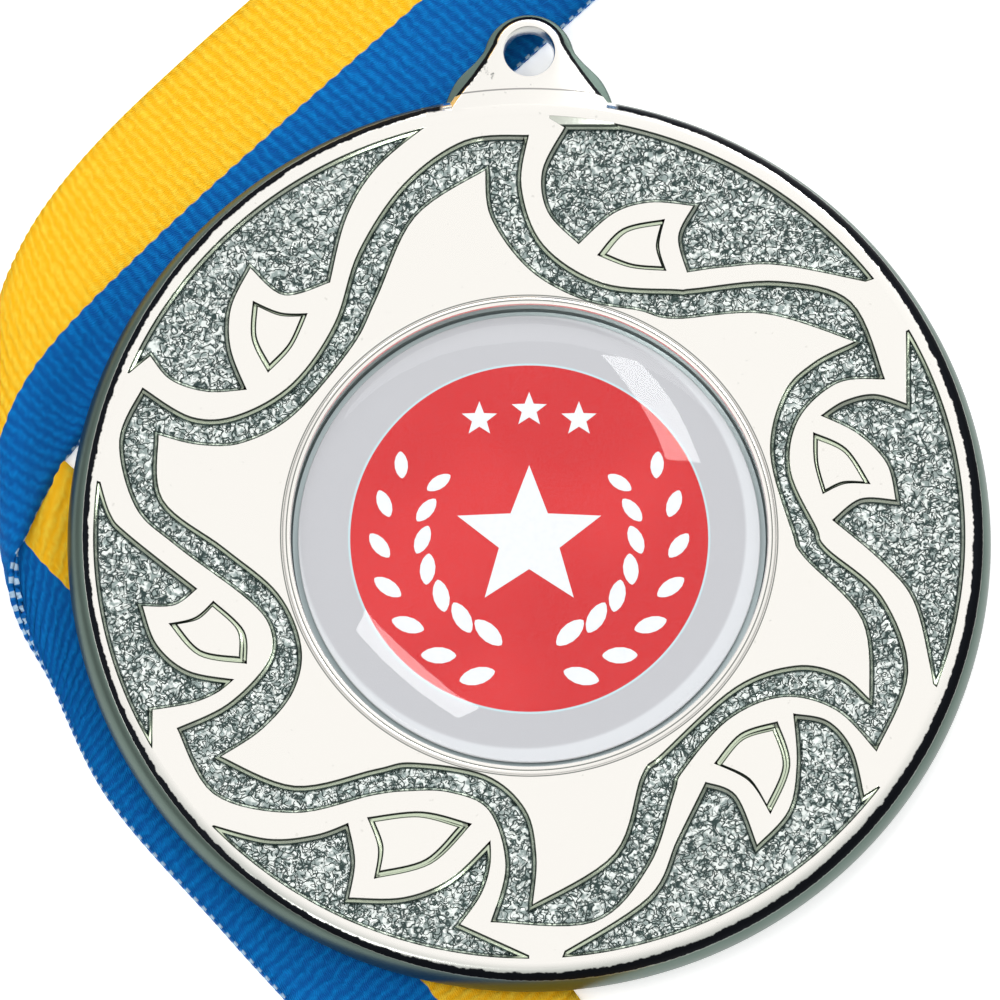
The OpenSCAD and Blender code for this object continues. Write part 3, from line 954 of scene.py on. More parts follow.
@dataclass
class MedalCasting:
    """The cast disc with its rim, pebbled field, raised sun and waves, seat lip and two-layer lug."""

    face_inset: float = 0.9
    rim_w: float = 0.7
    inner_rim: float = 0.2
    relief: float = 0.4
    slope: float = 0.32
    lip_w: float = 0.45
    back_ring_inset: float = 2.0
    back_ring_w: float = 0.6
    back_ring_depth: float = 0.2
    island_share: float = 0.78
    turns: int = 800
    field_pitch: float = 0.15
    pebble_height: float = 0.05
    pebble_pitch: float = 0.42
    hole_r: float = 1.3
    hole_reach: float = 2.2
    lip_h: float = 0.1
    seat_gap: float = 0.4
    sunk: float = 0.2
    skin: float = 0.002
    lug_shelf: float = 1.65
    lug_foot: float = 0.55
    rear_head_r: float = 2.45
    front_head_r: float = 1.78

    def __post_init__(self) -> None:
        """Takes the casting's place from the frame."""
        high = box_mm("medal_body")[1]
        self.medal_r = high.x
        self.medal_t = high.z - self.lip_h
        self.hole_y = self.medal_r + self.hole_reach
        self.seat_z = box_mm("adhesive_pad")[0].z
        self.seat_r = box_mm("label_disc")[1].x + self.seat_gap
        self.lip_r = self.seat_r + self.lip_w
        self.face_r = self.medal_r - self.face_inset
        self.field_r = self.face_r - self.rim_w

    def build(self) -> bpy.types.Object:
        """Makes the casting.

        Returns:
            The piece, ready to be dressed.
        """
        bm = bmesh.new()
        spin_profile(bm, self.profile(), self.turns)
        self.pebble(bm)
        bmesh.ops.recalc_face_normals(bm, faces=bm.faces)
        self.raise_pattern(bm)
        self.raise_lug(bm)
        return into_object(bm, "medal_casting", sharp=28, fix_normals=False)

    def profile(self) -> list[tuple[float, float]]:
        """The section from the back's middle, round the edge and over the front, to the seat's middle.

        Returns:
            Points of (radius, height).
        """
        top, floor = self.medal_t, self.medal_t - self.relief
        ring_out = self.face_r - self.back_ring_inset
        ring_in = ring_out - self.back_ring_w
        depth = self.back_ring_depth
        back = [(0.0, 0.0), (ring_in - 0.1, 0.0), (ring_in, depth), (ring_out, depth), (ring_out + 0.1, 0.0)]
        half = top / 2
        edge = [
            (self.face_r + self.face_inset * math.cos(a), half + half * math.sin(a))
            for a in (math.pi * (i / 20 - 0.5) for i in range(21))
        ]
        inner, outer = self.ground_radii()
        rows = round((outer - inner) / self.field_pitch)
        ground = [(outer + (inner - outer) * i / rows, floor) for i in range(rows + 1)]
        lip = [
            (self.lip_r + 0.03, top), (self.lip_r - 0.06, top + 0.07),
            (self.lip_r - self.lip_w / 2, top + self.lip_h),
            (self.seat_r + 0.06, top + 0.07), (self.seat_r, top - 0.02),
        ]
        seat = [(self.seat_r, self.seat_z + 0.1), (self.seat_r - 0.1, self.seat_z), (0.0, self.seat_z)]
        return back + edge + [(self.field_r + self.inner_rim, top)] + ground + lip + seat

    def ground_radii(self) -> tuple[float, float]:
        """Inner and outer radius of the flat sunk ground."""
        return self.lip_r + self.slope, self.field_r + self.inner_rim - self.slope

    def pebble(self, bm: bmesh.types.BMesh) -> None:
        """Lifts and lowers the sunk field in worm-like pebbles.

        Args:
            bm: The turned blank.
        """
        floor = self.medal_t - self.relief
        inner, outer = self.ground_radii()
        for vert in bm.verts:
            r = math.hypot(vert.co.x, vert.co.y)
            if abs(vert.co.z - floor) < 1e-4 and inner + 0.05 < r < outer - 0.05:
                worm = abs(noise.noise(Vector((vert.co.x, vert.co.y, 3.0)) / self.pebble_pitch))
                vert.co.z += self.pebble_height * (min(worm * 5, 1.0) - 0.6)

    def raise_pattern(self, bm: bmesh.types.BMesh) -> None:
        """Adds the sun, the band of waves and its islands.

        Args:
            bm: The mesh that it is added to.
        """
        drawing = FlameDrawing(self.lip_r, self.field_r)
        top, floor = self.medal_t, self.medal_t - self.relief
        wall = ((self.slope, floor), (0.0, floor - self.sunk))
        flames = range(drawing.flames)
        sun = [drawing.ring(SUN, 2), circle(self.lip_r - 0.05, 180, Vector((0.0, 0.0)))]
        band = [drawing.band(), drawing.ring(CHANNEL, 3), *(drawing.island(k, 1) for k in flames)]
        for loops in (sun, band):
            raise_plate(bm, loops, ((0.0, top - self.skin), *wall))
        for k in flames:
            raise_plate(bm, [drawing.island(k, self.island_share)], ((0.0, top), *wall))

    def raise_lug(self, bm: bmesh.types.BMesh) -> None:
        """Adds the lug's shouldered rear layer and its smaller front layer, both pierced by the hole.

        Args:
            bm: The mesh that it is added to.
        """
        centre = Vector((0.0, self.hole_y))
        shelf, foot, top = self.lug_shelf, self.lug_foot, self.medal_t
        rear = [self.lug_outline(self.rear_head_r, REAR_SIDE), circle(self.hole_r + 0.45, 72, centre)]
        rear_wall = ((-0.15, shelf), (-0.04, shelf - 0.05), (0.0, shelf - 0.16), (0.0, foot), (-0.12, 0.4))
        raise_plate(bm, rear, rear_wall)
        front = [self.lug_outline(self.front_head_r, FRONT_SIDE), circle(self.hole_r + 0.1, 72, centre)]
        front_wall = ((-0.08, top - 0.015), (0.0, top - 0.05), (0.26, top - 0.38), (0.28, shelf - 0.1))
        raise_plate(bm, front, front_wall, hole_share=0.2)

    def lug_outline(self, head_r: float, side: Row) -> Loop:
        """A lug's outline: a round head over two shouldered sides.

        Args:
            head_r: Radius of the head.
            side: Points of the right side, up from the foot, measured from the hole's centre.

        Returns:
            The outline, counterclockwise.
        """
        centre = Vector((0.0, self.hole_y))
        right = smooth([Vector(p) for p in side], 6) + [Vector(side[-1])]
        start = math.atan2(side[-1][1], side[-1][0]) + 0.12
        sweep = math.pi - 2 * start
        head = [polar(head_r, start + sweep * i / 40) for i in range(41)]
        left = [Vector((-p.x, p.y)) for p in reversed(right)]
        return [centre + p for p in right + head + left]


@dataclass
class CentreLabel:
    """The printed label, its white emblem and the clear dome over them."""

    red_r: float = 9.8
    star_r: float = 4.1
    star_waist: float = 0.42
    ink_gap: float = 0.002
    small_star_r: float = 1.0
    small_stars_r: float = 7.2
    small_star_angles: tuple[int, ...] = (68, 90, 112)
    sprig_r: float = 6.9
    sprig_half_w: float = 0.75
    leaves: int = 7
    first_leaf: int = 14
    leaf_step: int = 17
    leaf_lean: int = 30
    leaf_len: float = 2.0
    leaf_w: float = 0.24
    ink: float = 0.02
    dome_gap: float = 0.035

    def __post_init__(self) -> None:
        """Takes the label's and the dome's place from the frame."""
        self.label_low, self.label_high = box_mm("label_disc")
        self.dome_low, self.dome_high = box_mm("resin_dome")

    def build_label(self) -> bpy.types.Object:
        """Makes the label: a disc with a soft cut edge.

        Returns:
            The piece, ready to be dressed.
        """
        r, low, high = self.label_high.x, self.label_low.z, self.label_high.z
        profile = [(0.0, low), (r - 0.04, low), (r, low + 0.04), (r, high - 0.04), (r - 0.04, high)]
        profile += [(self.red_r, high), (0.0, high)]
        bm = bmesh.new()
        spin_profile(bm, profile, 180)
        return into_object(bm, "label_print")

    def build_dome(self) -> bpy.types.Object:
        """Makes the dome, flatter in the middle and full at its edge.

        Returns:
            The piece, ready to be dressed.
        """
        r, low = self.dome_high.x, self.dome_low.z + self.dome_gap
        height = self.dome_high.z - low
        rows = 48
        shares = [math.sin(math.pi / 2 * i / rows) for i in range(rows + 1)]
        curve = [(r * share, low + height * (1 - share**2.2) ** 0.75) for share in reversed(shares)]
        bm = bmesh.new()
        spin_profile(bm, [(0.0, low), *curve], 180)
        return into_object(bm, "dome_lens")

    def build_emblem(self) -> bpy.types.Object:
        """Makes the emblem: a star between two laurel sprigs, under three small stars.

        Returns:
            The piece, ready to be dressed.
        """
        bm = bmesh.new()
        self.star(bm, self.star_r, Vector((0.0, 0.0)))
        for angle in self.small_star_angles:
            self.star(bm, self.small_star_r, turned(Vector((self.small_stars_r, 0.0)), angle))
        for side in (-1, 1):
            for i in range(self.leaves):
                angle = -90 + side * (self.first_leaf + self.leaf_step * i)
                for row in (-1, 1):
                    root = turned(Vector((self.sprig_r + row * self.sprig_half_w, 0.0)), angle)
                    lean = angle + side * (90 - row * self.leaf_lean)
                    self.leaf(bm, root, lean, self.leaf_len - 0.08 * i)
        faces = list(bm.faces)
        bmesh.ops.translate(bm, vec=(0, 0, self.label_high.z + self.ink_gap), verts=bm.verts)
        lifted = bmesh.ops.extrude_face_region(bm, geom=faces)["geom"]
        top = [v for v in lifted if isinstance(v, bmesh.types.BMVert)]
        bmesh.ops.translate(bm, vec=(0, 0, self.ink), verts=top)
        bmesh.ops.delete(bm, geom=faces, context="FACES_ONLY")
        bmesh.ops.holes_fill(bm, edges=[e for e in bm.edges if e.is_boundary], sides=0)
        return into_object(bm, "label_emblem")

    def star(self, bm: bmesh.types.BMesh, radius: float, centre: Vector) -> None:
        """Adds a flat five-pointed star.

        Args:
            bm: The mesh that it is added to.
            radius: Reach of its points.
            centre: Its middle.
        """
        rim = bmesh.ops.create_circle(bm, cap_ends=True, segments=10, radius=radius)["verts"]
        for i, vert in enumerate(rim):
            reach = radius * (1.0 if i % 2 == 0 else self.star_waist)
            spot = centre + turned(Vector((reach, 0.0)), 90 + 36 * i)
            vert.co = (spot.x, spot.y, 0.0)

    def leaf(self, bm: bmesh.types.BMesh, root: Vector, lean: float, length: float) -> None:
        """Adds a flat pointed leaf that starts at its root.

        Args:
            bm: The mesh that it is added to.
            root: Where the leaf starts.
            lean: Its heading, in degrees.
            length: From root to tip.
        """
        count = 14
        rim = bmesh.ops.create_circle(bm, cap_ends=True, segments=count, radius=length)["verts"]
        for i, vert in enumerate(rim):
            a = TURN * i / count
            half_w = self.leaf_w * length * math.sin(a) * abs(math.sin(a)) ** 0.35
            spot = root + turned(Vector((length * (1 - math.cos(a)) / 2, half_w)), lean)
            vert.co = (spot.x, spot.y, 0.0)


# ---- the ribbon ----

# The fold, from the stack to the sewn end: yellow edge, middle and blue edge. The third number is the lift.
FOLD: Sequence[Sequence[tuple[float, float, float]]] = (
    ((-23.5, 22.8, 0.5), (-20, 17.8, 0.2), (-16, 12.9, 0)),
    ((-26.6, 18.6, 1.2), (-24.2, 13.4, 1), (-20.5, 9.2, 0)),
    ((-28.2, 15, 1.4), (-26.9, 9.9, 1.7), (-23.4, 7.1, 0.4)),
    ((-28.6, 11.8, 0.9), (-28.3, 6.8, 1.5), (-25.5, 4.6, 1.1)),
    ((-28, 9, 0.3), (-28.7, 4.2, 0.9), (-27, 1.6, 1.4)),
    ((-26.7, 6.6, 0), (-28.3, 1.8, 0.3), (-27.9, -1.4, 1)),
    ((-25, 4.2, 0), (-27.1, -0.6, 0), (-27.7, -4.6, 0.4)),
    ((-21.8, 0.6, 0), (-24.9, -3.8, 0), (-26.6, -8.2, 0.1)),
)


@dataclass
class NeckRibbon:
    """The neck loop as one strip: sewn end, fold, fan-folded stack and back again, on two layers."""

    width: float = 12.6
    layer: float = 0.34
    cloth: float = 0.3
    lay_gap: float = 0.03
    cut_length: float = 0.8  # metres
    pass_len: float = 37.0
    passes: int = 8
    near_turn: float = 1.1
    far_turn: float = 0.9
    rib_pitch: float = 0.65
    rib_height: float = 0.022
    grain: float = 0.17
    across: int = 12
    upper_mid: Vector = field(default_factory=lambda: Vector((-6.9, 30.0, 0.0)))
    upper_angle: float = 42.5
    upper_reach: float = 9.5
    lower_mid: Vector = field(default_factory=lambda: Vector((-6.1, -26.1, 0.0)))
    lower_angle: float = -49.7
    lower_reach: float = 16.0
    lower_bow: float = 1.5
    station: float = 10.0
    hem_len: float = 6.0
    seam_x: float = 3.0
    seam_gap: float = 0.05
    wire_r: float = 0.45
    run_clear: float = 0.05
    band_t: float = 0.12
    tuck_slope: float = 0.7
    tuck_start: float = 1.2

    def __post_init__(self) -> None:
        """Works out the heights from the frame."""
        self.base = box_mm("ribbon_hem")[0].z
        self.medal_r = box_mm("medal_body")[1].x
        self.pair_t = 2 * self.layer + self.lay_gap
        self.low_z = self.base + self.pair_t / 2
        self.half_gap = (self.layer + self.lay_gap) / 2
        self.stack_start = self.upper_mid + heading(self.upper_angle) * self.upper_reach
        self.stack_lift = self.band_t + self.lay_gap
        self.hem_start = self.lower_mid + heading(self.lower_angle) * self.lower_reach
        self.bar_z = self.base + self.wire_r + self.run_clear + self.layer

    def straight(self, mid: Vector, angle: float, along: float, lift: float = 0.0) -> list[Vector]:
        """A station of a straight stretch: yellow edge, middle and blue edge.

        Args:
            mid: Middle of the stretch.
            angle: Its heading, in degrees.
            along: Distance from mid, along the heading.
            lift: Height over the lowest lay.

        Returns:
            The three points.
        """
        centre = mid + heading(angle) * along + Vector((0.0, 0.0, lift))
        side = heading(angle + 90) * self.width / 2
        return [centre + side, centre, centre - side]

    def tucked(self, point: Vector) -> Vector:
        """Puts a lift on the table's height and keeps it clear of the medal's edge."""
        room = (math.hypot(point.x, point.y) - self.medal_r - self.tuck_start) * self.tuck_slope
        return Vector((point.x, point.y, self.low_z + max(0.0, min(point.z, room))))

    def run_stations(self) -> list[Station]:
        """The middle sheet from the stack, round the fold, to the hem.

        Returns:
            The stations, each from the yellow edge to the blue one.
        """
        upper = [(self.upper_reach, self.stack_lift), (0.0, 0.0), (-self.station, 0.0)]
        lower = [-2 * self.station, -self.station, 0.0, self.lower_reach]
        route = [self.straight(self.upper_mid, self.upper_angle, along, lift) for along, lift in upper]
        route += [[Vector(p) for p in row] for row in FOLD]
        route += [self.straight(self.lower_mid, self.lower_angle, along) for along in lower]
        inward = heading(self.lower_angle + 90) * self.lower_bow
        for place, share in ((-6, 0.3), (-5, 0.7), (-4, 1.0), (-3, 1.0), (-2, 1.0)):
            route[place] = [point + inward * share for point in route[place]]
        steps = [round((b[1] - a[1]).length / self.grain) for a, b in zip(route, route[1:])]
        columns = [smooth([row[i] for row in route], steps) + [route[-1][i]] for i in range(3)]
        return [[self.tucked(self.bow(a, b, c, j / self.across)) for j in range(self.across + 1)]
                for a, b, c in zip(*columns)]

    def bow(self, a: Vector, b: Vector, c: Vector, t: float) -> Vector:
        """A parabola through the two edges and the middle."""
        return a * (1 - t) * (1 - 2 * t) + b * 4 * t * (1 - t) + c * t * (2 * t - 1)

    def layers_of(self, stations: list[Station]) -> tuple[list[Station], list[Station]]:
        """The two layers over and under the middle sheet, with their ribs.

        Args:
            stations: The middle sheet's stations.

        Returns:
            The layer on the side of the sheet's normal, and the other.
        """
        last = len(stations) - 1
        first: list[Station] = []
        second: list[Station] = []
        run = 0.0
        for i, row in enumerate(stations):
            if i:
                run += (row[self.across // 2] - stations[i - 1][self.across // 2]).length
            rib = self.rib_height * math.cos(TURN * run / self.rib_pitch)
            before, after = stations[max(i - 1, 0)], stations[min(i + 1, last)]
            over, under = [], []
            for j, spot in enumerate(row):
                ahead = before[j] - after[j]
                aside = row[min(j + 1, self.across)] - row[max(j - 1, 0)]
                normal = aside.cross(ahead).normalized()
                over.append(spot + normal * (self.half_gap + rib))
                under.append(spot - normal * (self.half_gap + rib))
            first.append(over)
            second.append(under)
        return first, second

    def local_row(self, origin: Vector, angle: float, x: float, z: float) -> Station:
        """A level row across the ribbon, at x along a heading and at a height.

        Args:
            origin: Where the stretch starts.
            angle: Its heading, in degrees.
            x: Distance from the origin, along the heading.
            z: The row's height.

        Returns:
            The row, from the yellow edge to the blue one.
        """
        centre = origin + heading(angle) * x
        side = heading(angle + 90) * self.width
        return [Vector((*(centre + side * (0.5 - j / self.across)).xy, z)) for j in range(self.across + 1)]

    def stack_path(self) -> list[tuple[Vector, Vector]]:
        """The doubled layers' folded path as (point, normal) pairs of (along, height).

        Returns:
            The pairs, from the stack's start to the loop's far end.
        """
        pitch = self.pair_t + self.lay_gap
        low = self.low_z + self.stack_lift
        near, far = self.near_turn, self.pass_len - self.far_turn
        path: list[tuple[Vector, Vector]] = []
        for k in range(self.passes):
            ahead = 1 if k % 2 == 0 else -1
            start, end = (near, far) if ahead == 1 else (far, near)
            start = 0.0 if k == 0 else start
            z = low + k * pitch
            path += [(Vector((start + (end - start) * i / 12, z)), Vector((0.0, ahead))) for i in range(12)]
            if k == self.passes - 1:
                path.append((Vector((end, z)), Vector((0.0, ahead))))
                break
            for i in range(9):
                c, s = math.cos(math.pi * i / 9), math.sin(math.pi * i / 9)
                spot = Vector((end + ahead * s * pitch / 2, z + pitch / 2 - c * pitch / 2))
                path.append((spot, Vector((-s, c * ahead))))
        return path

    def stack_layers(self) -> tuple[list[Station], list[Station], list[Station]]:
        """The stack's two layers and the turn that joins them at the loop's far end.

        Returns:
            The stations of the layer on the path's left, of the one on its right, and of the turn.
        """
        path = self.stack_path()

        def row(spot: Vector) -> Station:
            """The row across the ribbon at a point of the path."""
            return self.local_row(self.stack_start, self.upper_angle, spot.x, spot.y)

        over = [row(spot + normal * self.half_gap) for spot, normal in path]
        under = [row(spot - normal * self.half_gap) for spot, normal in path]
        spot, normal = path[-1]
        ahead = Vector((normal.y, -normal.x))
        turn = [row(spot + (normal * -math.cos(a) + ahead * math.sin(a)) * self.half_gap)
                for a in (math.pi * i / 10 for i in range(1, 10))]
        return over, under, turn

    def wire_wrap(self) -> list[Station]:
        """The layer that starts at the seam, goes under and round the wire, and comes back on top.

        Returns:
            The layer's stations, from the seam on.
        """
        r = self.wire_r + self.run_clear + self.layer / 2
        under, top = self.low_z - self.half_gap, self.low_z + self.half_gap
        start, reach = self.seam_x + self.seam_gap, self.hem_len - self.seam_x
        path = [Vector((start + reach * i / 12, under)) for i in range(12)]
        path += [Vector((self.hem_len + r * math.sin(a), self.bar_z - r * math.cos(a)))
                 for a in (math.radians(9 * i) for i in range(26))]
        flat = [Vector((x, top)) for x in (4.1, 3.0, 0.2)]
        path += smooth([path[-1], Vector((4.75, 0.02)), *flat], 8)[1:]
        return [self.local_row(self.hem_start, self.lower_angle, p.x, p.y) for p in path]

    def build(self) -> bpy.types.Object:
        """Makes the whole strip.

        Returns:
            The piece, with its wall still a modifier.
        """
        run = self.run_stations()
        over, under = self.layers_of(run)
        stack_over, stack_under, turn = self.stack_layers()
        end = [self.local_row(self.hem_start, self.lower_angle, x, self.low_z - self.half_gap)
               for x in (0.5, 1.2, 2.0, self.seam_x - self.seam_gap)]
        up, down = (over, under) if over[0][0].z > under[0][0].z else (under, over)
        strip = self.wire_wrap() + down[::-1] + stack_under[1:] + turn + stack_over[:0:-1] + up + end
        bm = bmesh.new()
        lay_strip(bm, strip, self.width)
        piece = into_object(bm, "neck_ribbon", sharp=80, fix_normals=False)
        add_wall(piece, self.cloth)
        return piece


@dataclass
class SewnEnd:
    """The stitches through the sewn end and the wire clip that it holds."""

    ribbon: NeckRibbon
    rows: tuple[float, ...] = (2.0, 4.0)
    stitches: int = 7
    stitch_len: float = 1.3
    thread_r: float = 0.11
    corner_y: float = 7.7
    nose_y: float = 1.0
    reach: float = 10.0
    bend: float = 1.5

    def build_stitches(self) -> bpy.types.Object:
        """Makes the stitches: short arched threads that dip into the cloth at both ends.

        Returns:
            The piece, ready to be dressed.
        """
        bm = bmesh.new()
        pitch = (self.ribbon.width - 1) / self.stitches
        top = self.ribbon.low_z + self.ribbon.half_gap + self.ribbon.cloth / 2
        for x in self.rows:
            for i in range(self.stitches):
                self.stitch(bm, x, (i - (self.stitches - 1) / 2) * pitch, top)
        return into_object(bm, "hem_stitches", sharp=60)

    def stitch(self, bm: bmesh.types.BMesh, x: float, y: float, top: float) -> None:
        """Adds one stitch across the heading, from a rod whose unfinished points have no tag yet.

        Args:
            bm: The mesh that it is added to.
            x: Distance from the hem's start, along the ribbon.
            y: Distance from the ribbon's middle.
            top: Height of the cloth's face.
        """
        rings = 9
        bmesh.ops.create_cone(bm, cap_ends=True, segments=8, radius1=1, radius2=1, depth=rings - 1)
        fresh = [v for v in bm.verts if not v.tag]
        body = [e for v in fresh for e in v.link_edges if abs(e.verts[0].co.z - e.verts[1].co.z) > 1]
        bmesh.ops.subdivide_edges(bm, edges=list(set(body)), cuts=rings - 2)
        forward, aside = heading(self.ribbon.lower_angle), heading(self.ribbon.lower_angle + 90)
        middle = self.ribbon.hem_start + forward * x
        for vert in (v for v in bm.verts if not v.tag):
            share = vert.co.z / (rings - 1)
            lift = self.thread_r * (1.1 - 14 * share**4 - 1.5 * share**2)
            taper = self.thread_r * (1 - 0.5 * abs(2 * share) ** 3)
            spot = middle + aside * (y + share * self.stitch_len) + forward * vert.co.x * taper
            vert.co = (spot.x, spot.y, top + lift + vert.co.y * taper)
            vert.tag = True

    def build_clip(self) -> bpy.types.Object:
        """Makes the clip: one closed loop of round wire with rounded corners, nose down on the table.

        Returns:
            The piece, ready to be dressed.
        """
        ribbon = self.ribbon
        slope = (ribbon.bar_z - ribbon.base - ribbon.wire_r) / self.reach
        corners = [Vector((0, -self.corner_y)), Vector((self.reach, -self.nose_y)),
                   Vector((self.reach, self.nose_y)), Vector((0, self.corner_y))]
        forward, aside = heading(ribbon.lower_angle), heading(ribbon.lower_angle + 90)
        start = ribbon.hem_start + forward * ribbon.hem_len
        points = []
        for i, corner in enumerate(corners):
            before, after = corners[i - 1], corners[(i + 1) % 4]
            bend = min(self.bend, (after - corner).length * 0.45, (before - corner).length * 0.45)
            a = corner + (before - corner).normalized() * bend
            b = corner + (after - corner).normalized() * bend
            for t in (s / 8 for s in range(9)):
                flat = a * (1 - t) ** 2 + corner * 2 * t * (1 - t) + b * t * t
                spot = start + forward * flat.x + aside * flat.y
                points.append(Vector((spot.x, spot.y, ribbon.bar_z - slope * flat.x)))
        curve = bpy.data.curves.new("clip_line", "CURVE")
        curve.dimensions = "3D"
        line = curve.splines.new("POLY")
        line.points.add(len(points) - 1)
        for knot, spot in zip(line.points, points):
            knot.co = (*(spot * MM), 1.0)
        line.use_cyclic_u = True
        curve.bevel_depth = ribbon.wire_r * MM
        curve.bevel_resolution = 6
        bar = link_new("clip_line", curve)
        bpy.context.view_layer.update()
        mesh = bpy.data.meshes.new_from_object(bar)
        mesh.name = "clip_wire"
        mesh.shade_smooth()
        bpy.data.objects.remove(bar)
        return link_new("clip_wire", mesh)


@dataclass
class PaperBand:
    """The paper band round the folded stack, with its end glued over its start."""

    ribbon: NeckRibbon
    width: float = 9.0
    paper: float = 0.12
    corner: float = 0.5
    overlap: float = 4.5

    def build(self) -> bpy.types.Object:
        """Makes the band.

        Returns:
            The piece, with its wall still a modifier.
        """
        low, high = box_mm("paper_band")
        ribbon = self.ribbon
        half_y = ribbon.width / 2 + ribbon.lay_gap + self.paper / 2
        bottom, top = low.z + self.paper / 2, high.z - self.paper / 2
        corners = ((half_y, top, 0), (half_y, bottom, 270), (-half_y, bottom, 180), (-half_y, top, 90))
        path = [Vector((-self.overlap / 2, top)), Vector((0.0, top))]
        for y, z, turn in corners:
            cy = y - math.copysign(self.corner, y)
            cz = z - math.copysign(self.corner, z - (top + bottom) / 2)
            angles = (math.radians(turn + 90 - 15 * i) for i in range(7))
            path += [Vector((cy, cz)) + polar(self.corner, a) for a in angles]
        lift = self.paper * 1.1
        path += [Vector((-self.overlap, top + 0.01)), Vector((-self.overlap * 0.62, top + lift)),
                 Vector((0.0, top + lift)), Vector((self.overlap / 2, top + lift))]
        forward, aside = heading(ribbon.upper_angle), heading(ribbon.upper_angle + 90)
        start = ribbon.stack_start + forward * (ribbon.pass_len - self.width) / 2
        stations = []
        for p in path:
            edge = start + aside * p.x
            stations.append([Vector((*(edge + forward * self.width * j / 4).xy, p.y)) for j in range(5)])
        bm = bmesh.new()
        lay_strip(bm, stations, self.width)
        piece = into_object(bm, "paper_wrap", sharp=60, fix_normals=False)
        add_wall(piece, self.paper * 0.9)
        return piece


# ---- the set ----


@dataclass(frozen=True)
class Lamp:
    """A soft rectangular light that faces the medal."""

    name: str
    place: tuple[float, float, float]
    size: tuple[float, float]
    brightness: float
    roll: float = 0.0


@dataclass
class Studio:
    """The camera, the pale floor and the soft lights."""

    aim: Vector = field(default_factory=lambda: Vector((-0.00158, 0.001963, 0.003)))
    elevation: float = 75.2
    distance: float = 1.5
    lens: float = 998.0
    floor_size: float = 3.0
    floor_glow: float = 0.45
    floor_gap: float = 0.005  # millimetres
    sky: float = 0.97
    horizon: float = 0.36
    sky_rise: tuple[float, float] = (0.1, 0.85)
    lamps: tuple[Lamp, ...] = (
        Lamp("window", (0.138, 0.265, 0.345), (0.17, 0.06), 10.0, -48),
        Lamp("side_panel", (-0.155, -0.06, 0.47), (0.2, 0.055), 11.0, 25),
        Lamp("back_panel", (0.0, 0.42, 0.3), (0.7, 0.12), 1.9),
    )

    def build(self) -> None:
        """Makes the set."""
        self.set_camera()
        self.lay_floor()
        world = bpy.data.worlds.new("tent")
        world.use_nodes = True
        sky = world.node_tree.nodes["Background"]
        sky.inputs["Color"].default_value = paint(255, 255, 255)
        nodes, links = world.node_tree.nodes, world.node_tree.links
        split = nodes.new("ShaderNodeSeparateXYZ")
        links.new(nodes.new("ShaderNodeTexCoord").outputs["Generated"], split.inputs[0])
        ramp = nodes.new("ShaderNodeMapRange")
        ramp.interpolation_type = "SMOOTHSTEP"
        stops = zip(("From Min", "From Max", "To Min", "To Max"), (*self.sky_rise, self.horizon, self.sky))
        for name, value in stops:
            ramp.inputs[name].default_value = value
        links.new(split.outputs[2], ramp.inputs["Value"])
        links.new(ramp.outputs[0], sky.inputs["Strength"])
        bpy.context.scene.world = world
        bpy.context.scene.view_settings.view_transform = "Standard"
        for lamp in self.lamps:
            self.hang(lamp)

    def set_camera(self) -> None:
        """Aims the camera at the medal from above its lower side."""
        data = bpy.data.cameras.new("camera")
        data.lens = self.lens
        data.sensor_width = 36.0
        data.clip_start, data.clip_end = 0.01, 10.0
        camera = link_new("camera", data)
        lift = math.radians(self.elevation)
        back = Vector((0.0, -math.cos(lift), math.sin(lift)))
        camera.location = self.aim + back * self.distance
        camera.rotation_euler = (-back).to_track_quat("-Z", "Y").to_euler()
        bpy.context.scene.camera = camera

    def lay_floor(self) -> None:
        """Lays the floor just under the lowest piece."""
        bm = bmesh.new()
        bmesh.ops.create_grid(bm, x_segments=8, y_segments=8, size=self.floor_size / 2 / MM)
        bmesh.ops.translate(bm, vec=(0, 0, CAD_BOX[0].z / MM - self.floor_gap), verts=bm.verts)
        floor = into_object(bm, "floor", fix_normals=False)
        finish = PlainFinish("pale_floor", paint(252, 252, 252), paint(248, 248, 248), 0.02, 0.0, 0.7)
        floor.data.materials.append(finish.build())
        shader = floor.data.materials[0].node_tree.nodes["Principled BSDF"]
        shader.inputs["Emission Color"].default_value = paint(255, 255, 255)
        shader.inputs["Emission Strength"].default_value = self.floor_glow

    def hang(self, lamp: Lamp) -> None:
        """Hangs one light and gives it the power that its brightness needs.

        Args:
            lamp: The light's place, size and brightness.
        """
        data = bpy.data.lights.new(lamp.name, "AREA")
        data.shape = "RECTANGLE"
        data.size, data.size_y = lamp.size
        data.energy = lamp.brightness * math.pi * lamp.size[0] * lamp.size[1]
        light = link_new(lamp.name, data)
        light.location = lamp.place
        facing = (-Vector(lamp.place)).to_track_quat("-Z", "Y").to_matrix()
        light.rotation_euler = (facing @ Matrix.Rotation(math.radians(lamp.roll), 3, "Z")).to_euler()


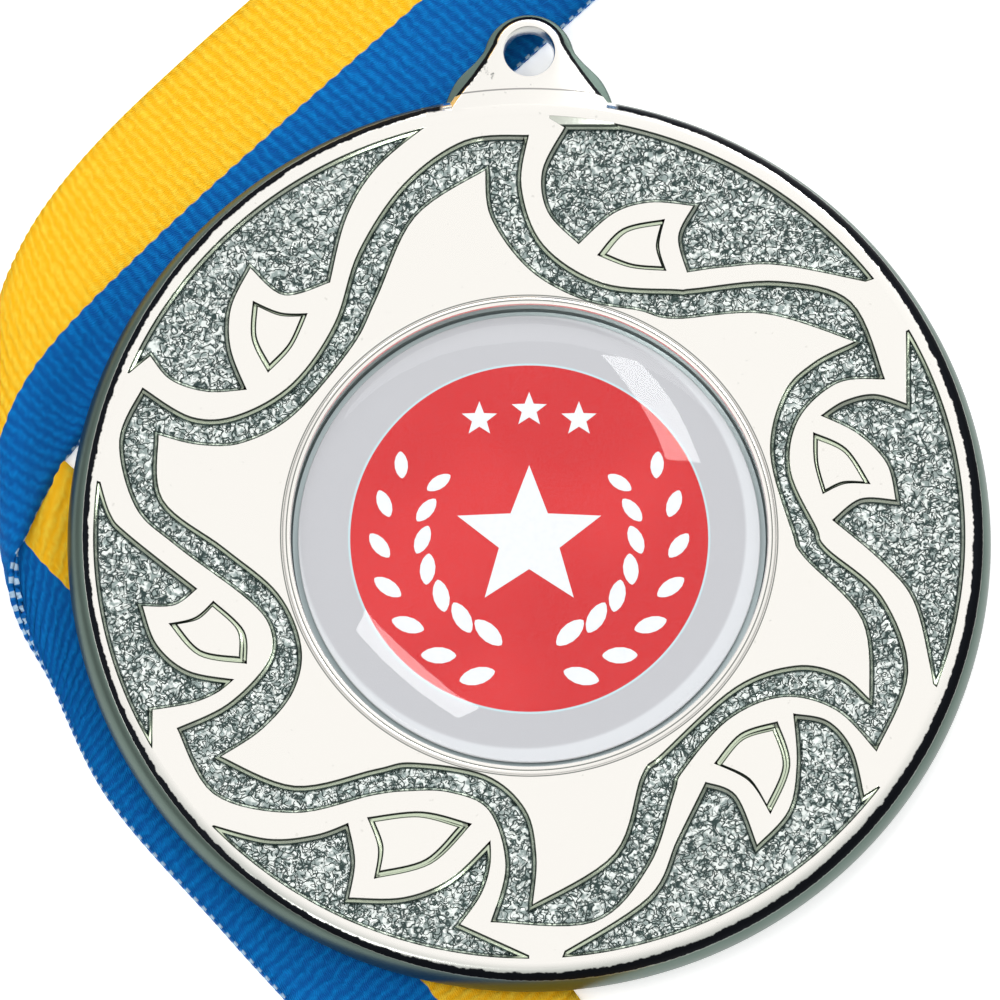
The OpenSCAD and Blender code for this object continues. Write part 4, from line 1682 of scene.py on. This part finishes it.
def main() -> None:
    """Builds every piece in order."""
    logging.basicConfig(level=logging.INFO, format="%(message)s")
    Studio().build()

    casting = MedalCasting()
    silver = AntiqueSilver(
        casting.medal_t, casting.relief, casting.face_r, casting.lip_r, casting.hole_y, casting.hole_r
    )
    dress(casting.build(), silver.build(), Slot.SILVER, Body.MEDAL, "medal_body")

    centre = CentreLabel()
    vinyl = PrintedLabel(centre.red_r, centre.label_high.x)
    dress(centre.build_label(), vinyl.build(), Slot.PRINT, Body.MEDAL, "label_disc")
    ink = PlainFinish("white_ink", paint(250, 250, 250), paint(236, 238, 240), 4.0, 0.003, 0.5)
    dress(centre.build_emblem(), ink.build(), Slot.PRINT, Body.MEDAL)
    dress(centre.build_dome(), ClearResin().build(), Slot.RESIN, Body.MEDAL, "resin_dome")
    foam = PlainFinish(Slot.FOAM.value, paint(228, 228, 224), paint(198, 198, 194), 3.0, 0.05, 0.85)
    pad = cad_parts["adhesive_pad"]
    pad.data.materials.clear()
    pad.data.materials.append(foam.build())

    ribbon = NeckRibbon()
    strip = ribbon.build()
    weave = RibbedWeave(ribbon.width, ribbon.rib_pitch)
    dress(strip, weave.build(), Slot.WEAVE, Body.RIBBON, "ribbon_run", "ribbon_stack", "ribbon_hem")
    end = SewnEnd(ribbon)
    thread = PlainFinish(
        Slot.THREAD.value, paint(246, 196, 60), paint(214, 150, 22), 6.0, 0.03, 0.6, sheen=0.3
    )
    stitches = end.build_stitches()
    dress(stitches, thread.build(), Slot.THREAD, Body.RIBBON, "hem_stitching")
    nickel = PlainFinish(
        Slot.WIRE.value, paint(236, 236, 236), paint(206, 207, 209), 0.8, 0.004, 0.2, metallic=1.0
    )
    dress(end.build_clip(), nickel.build(), Slot.WIRE, Body.CLIP, "wire_clip")
    paper = PlainFinish(Slot.PAPER.value, paint(246, 245, 240), paint(232, 230, 224), 1.6, 0.012, 0.8)
    band = PaperBand(ribbon).build()
    dress(band, paper.build(), Slot.PAPER, Body.RIBBON, "paper_band")


if __name__ == "__main__":
    main()
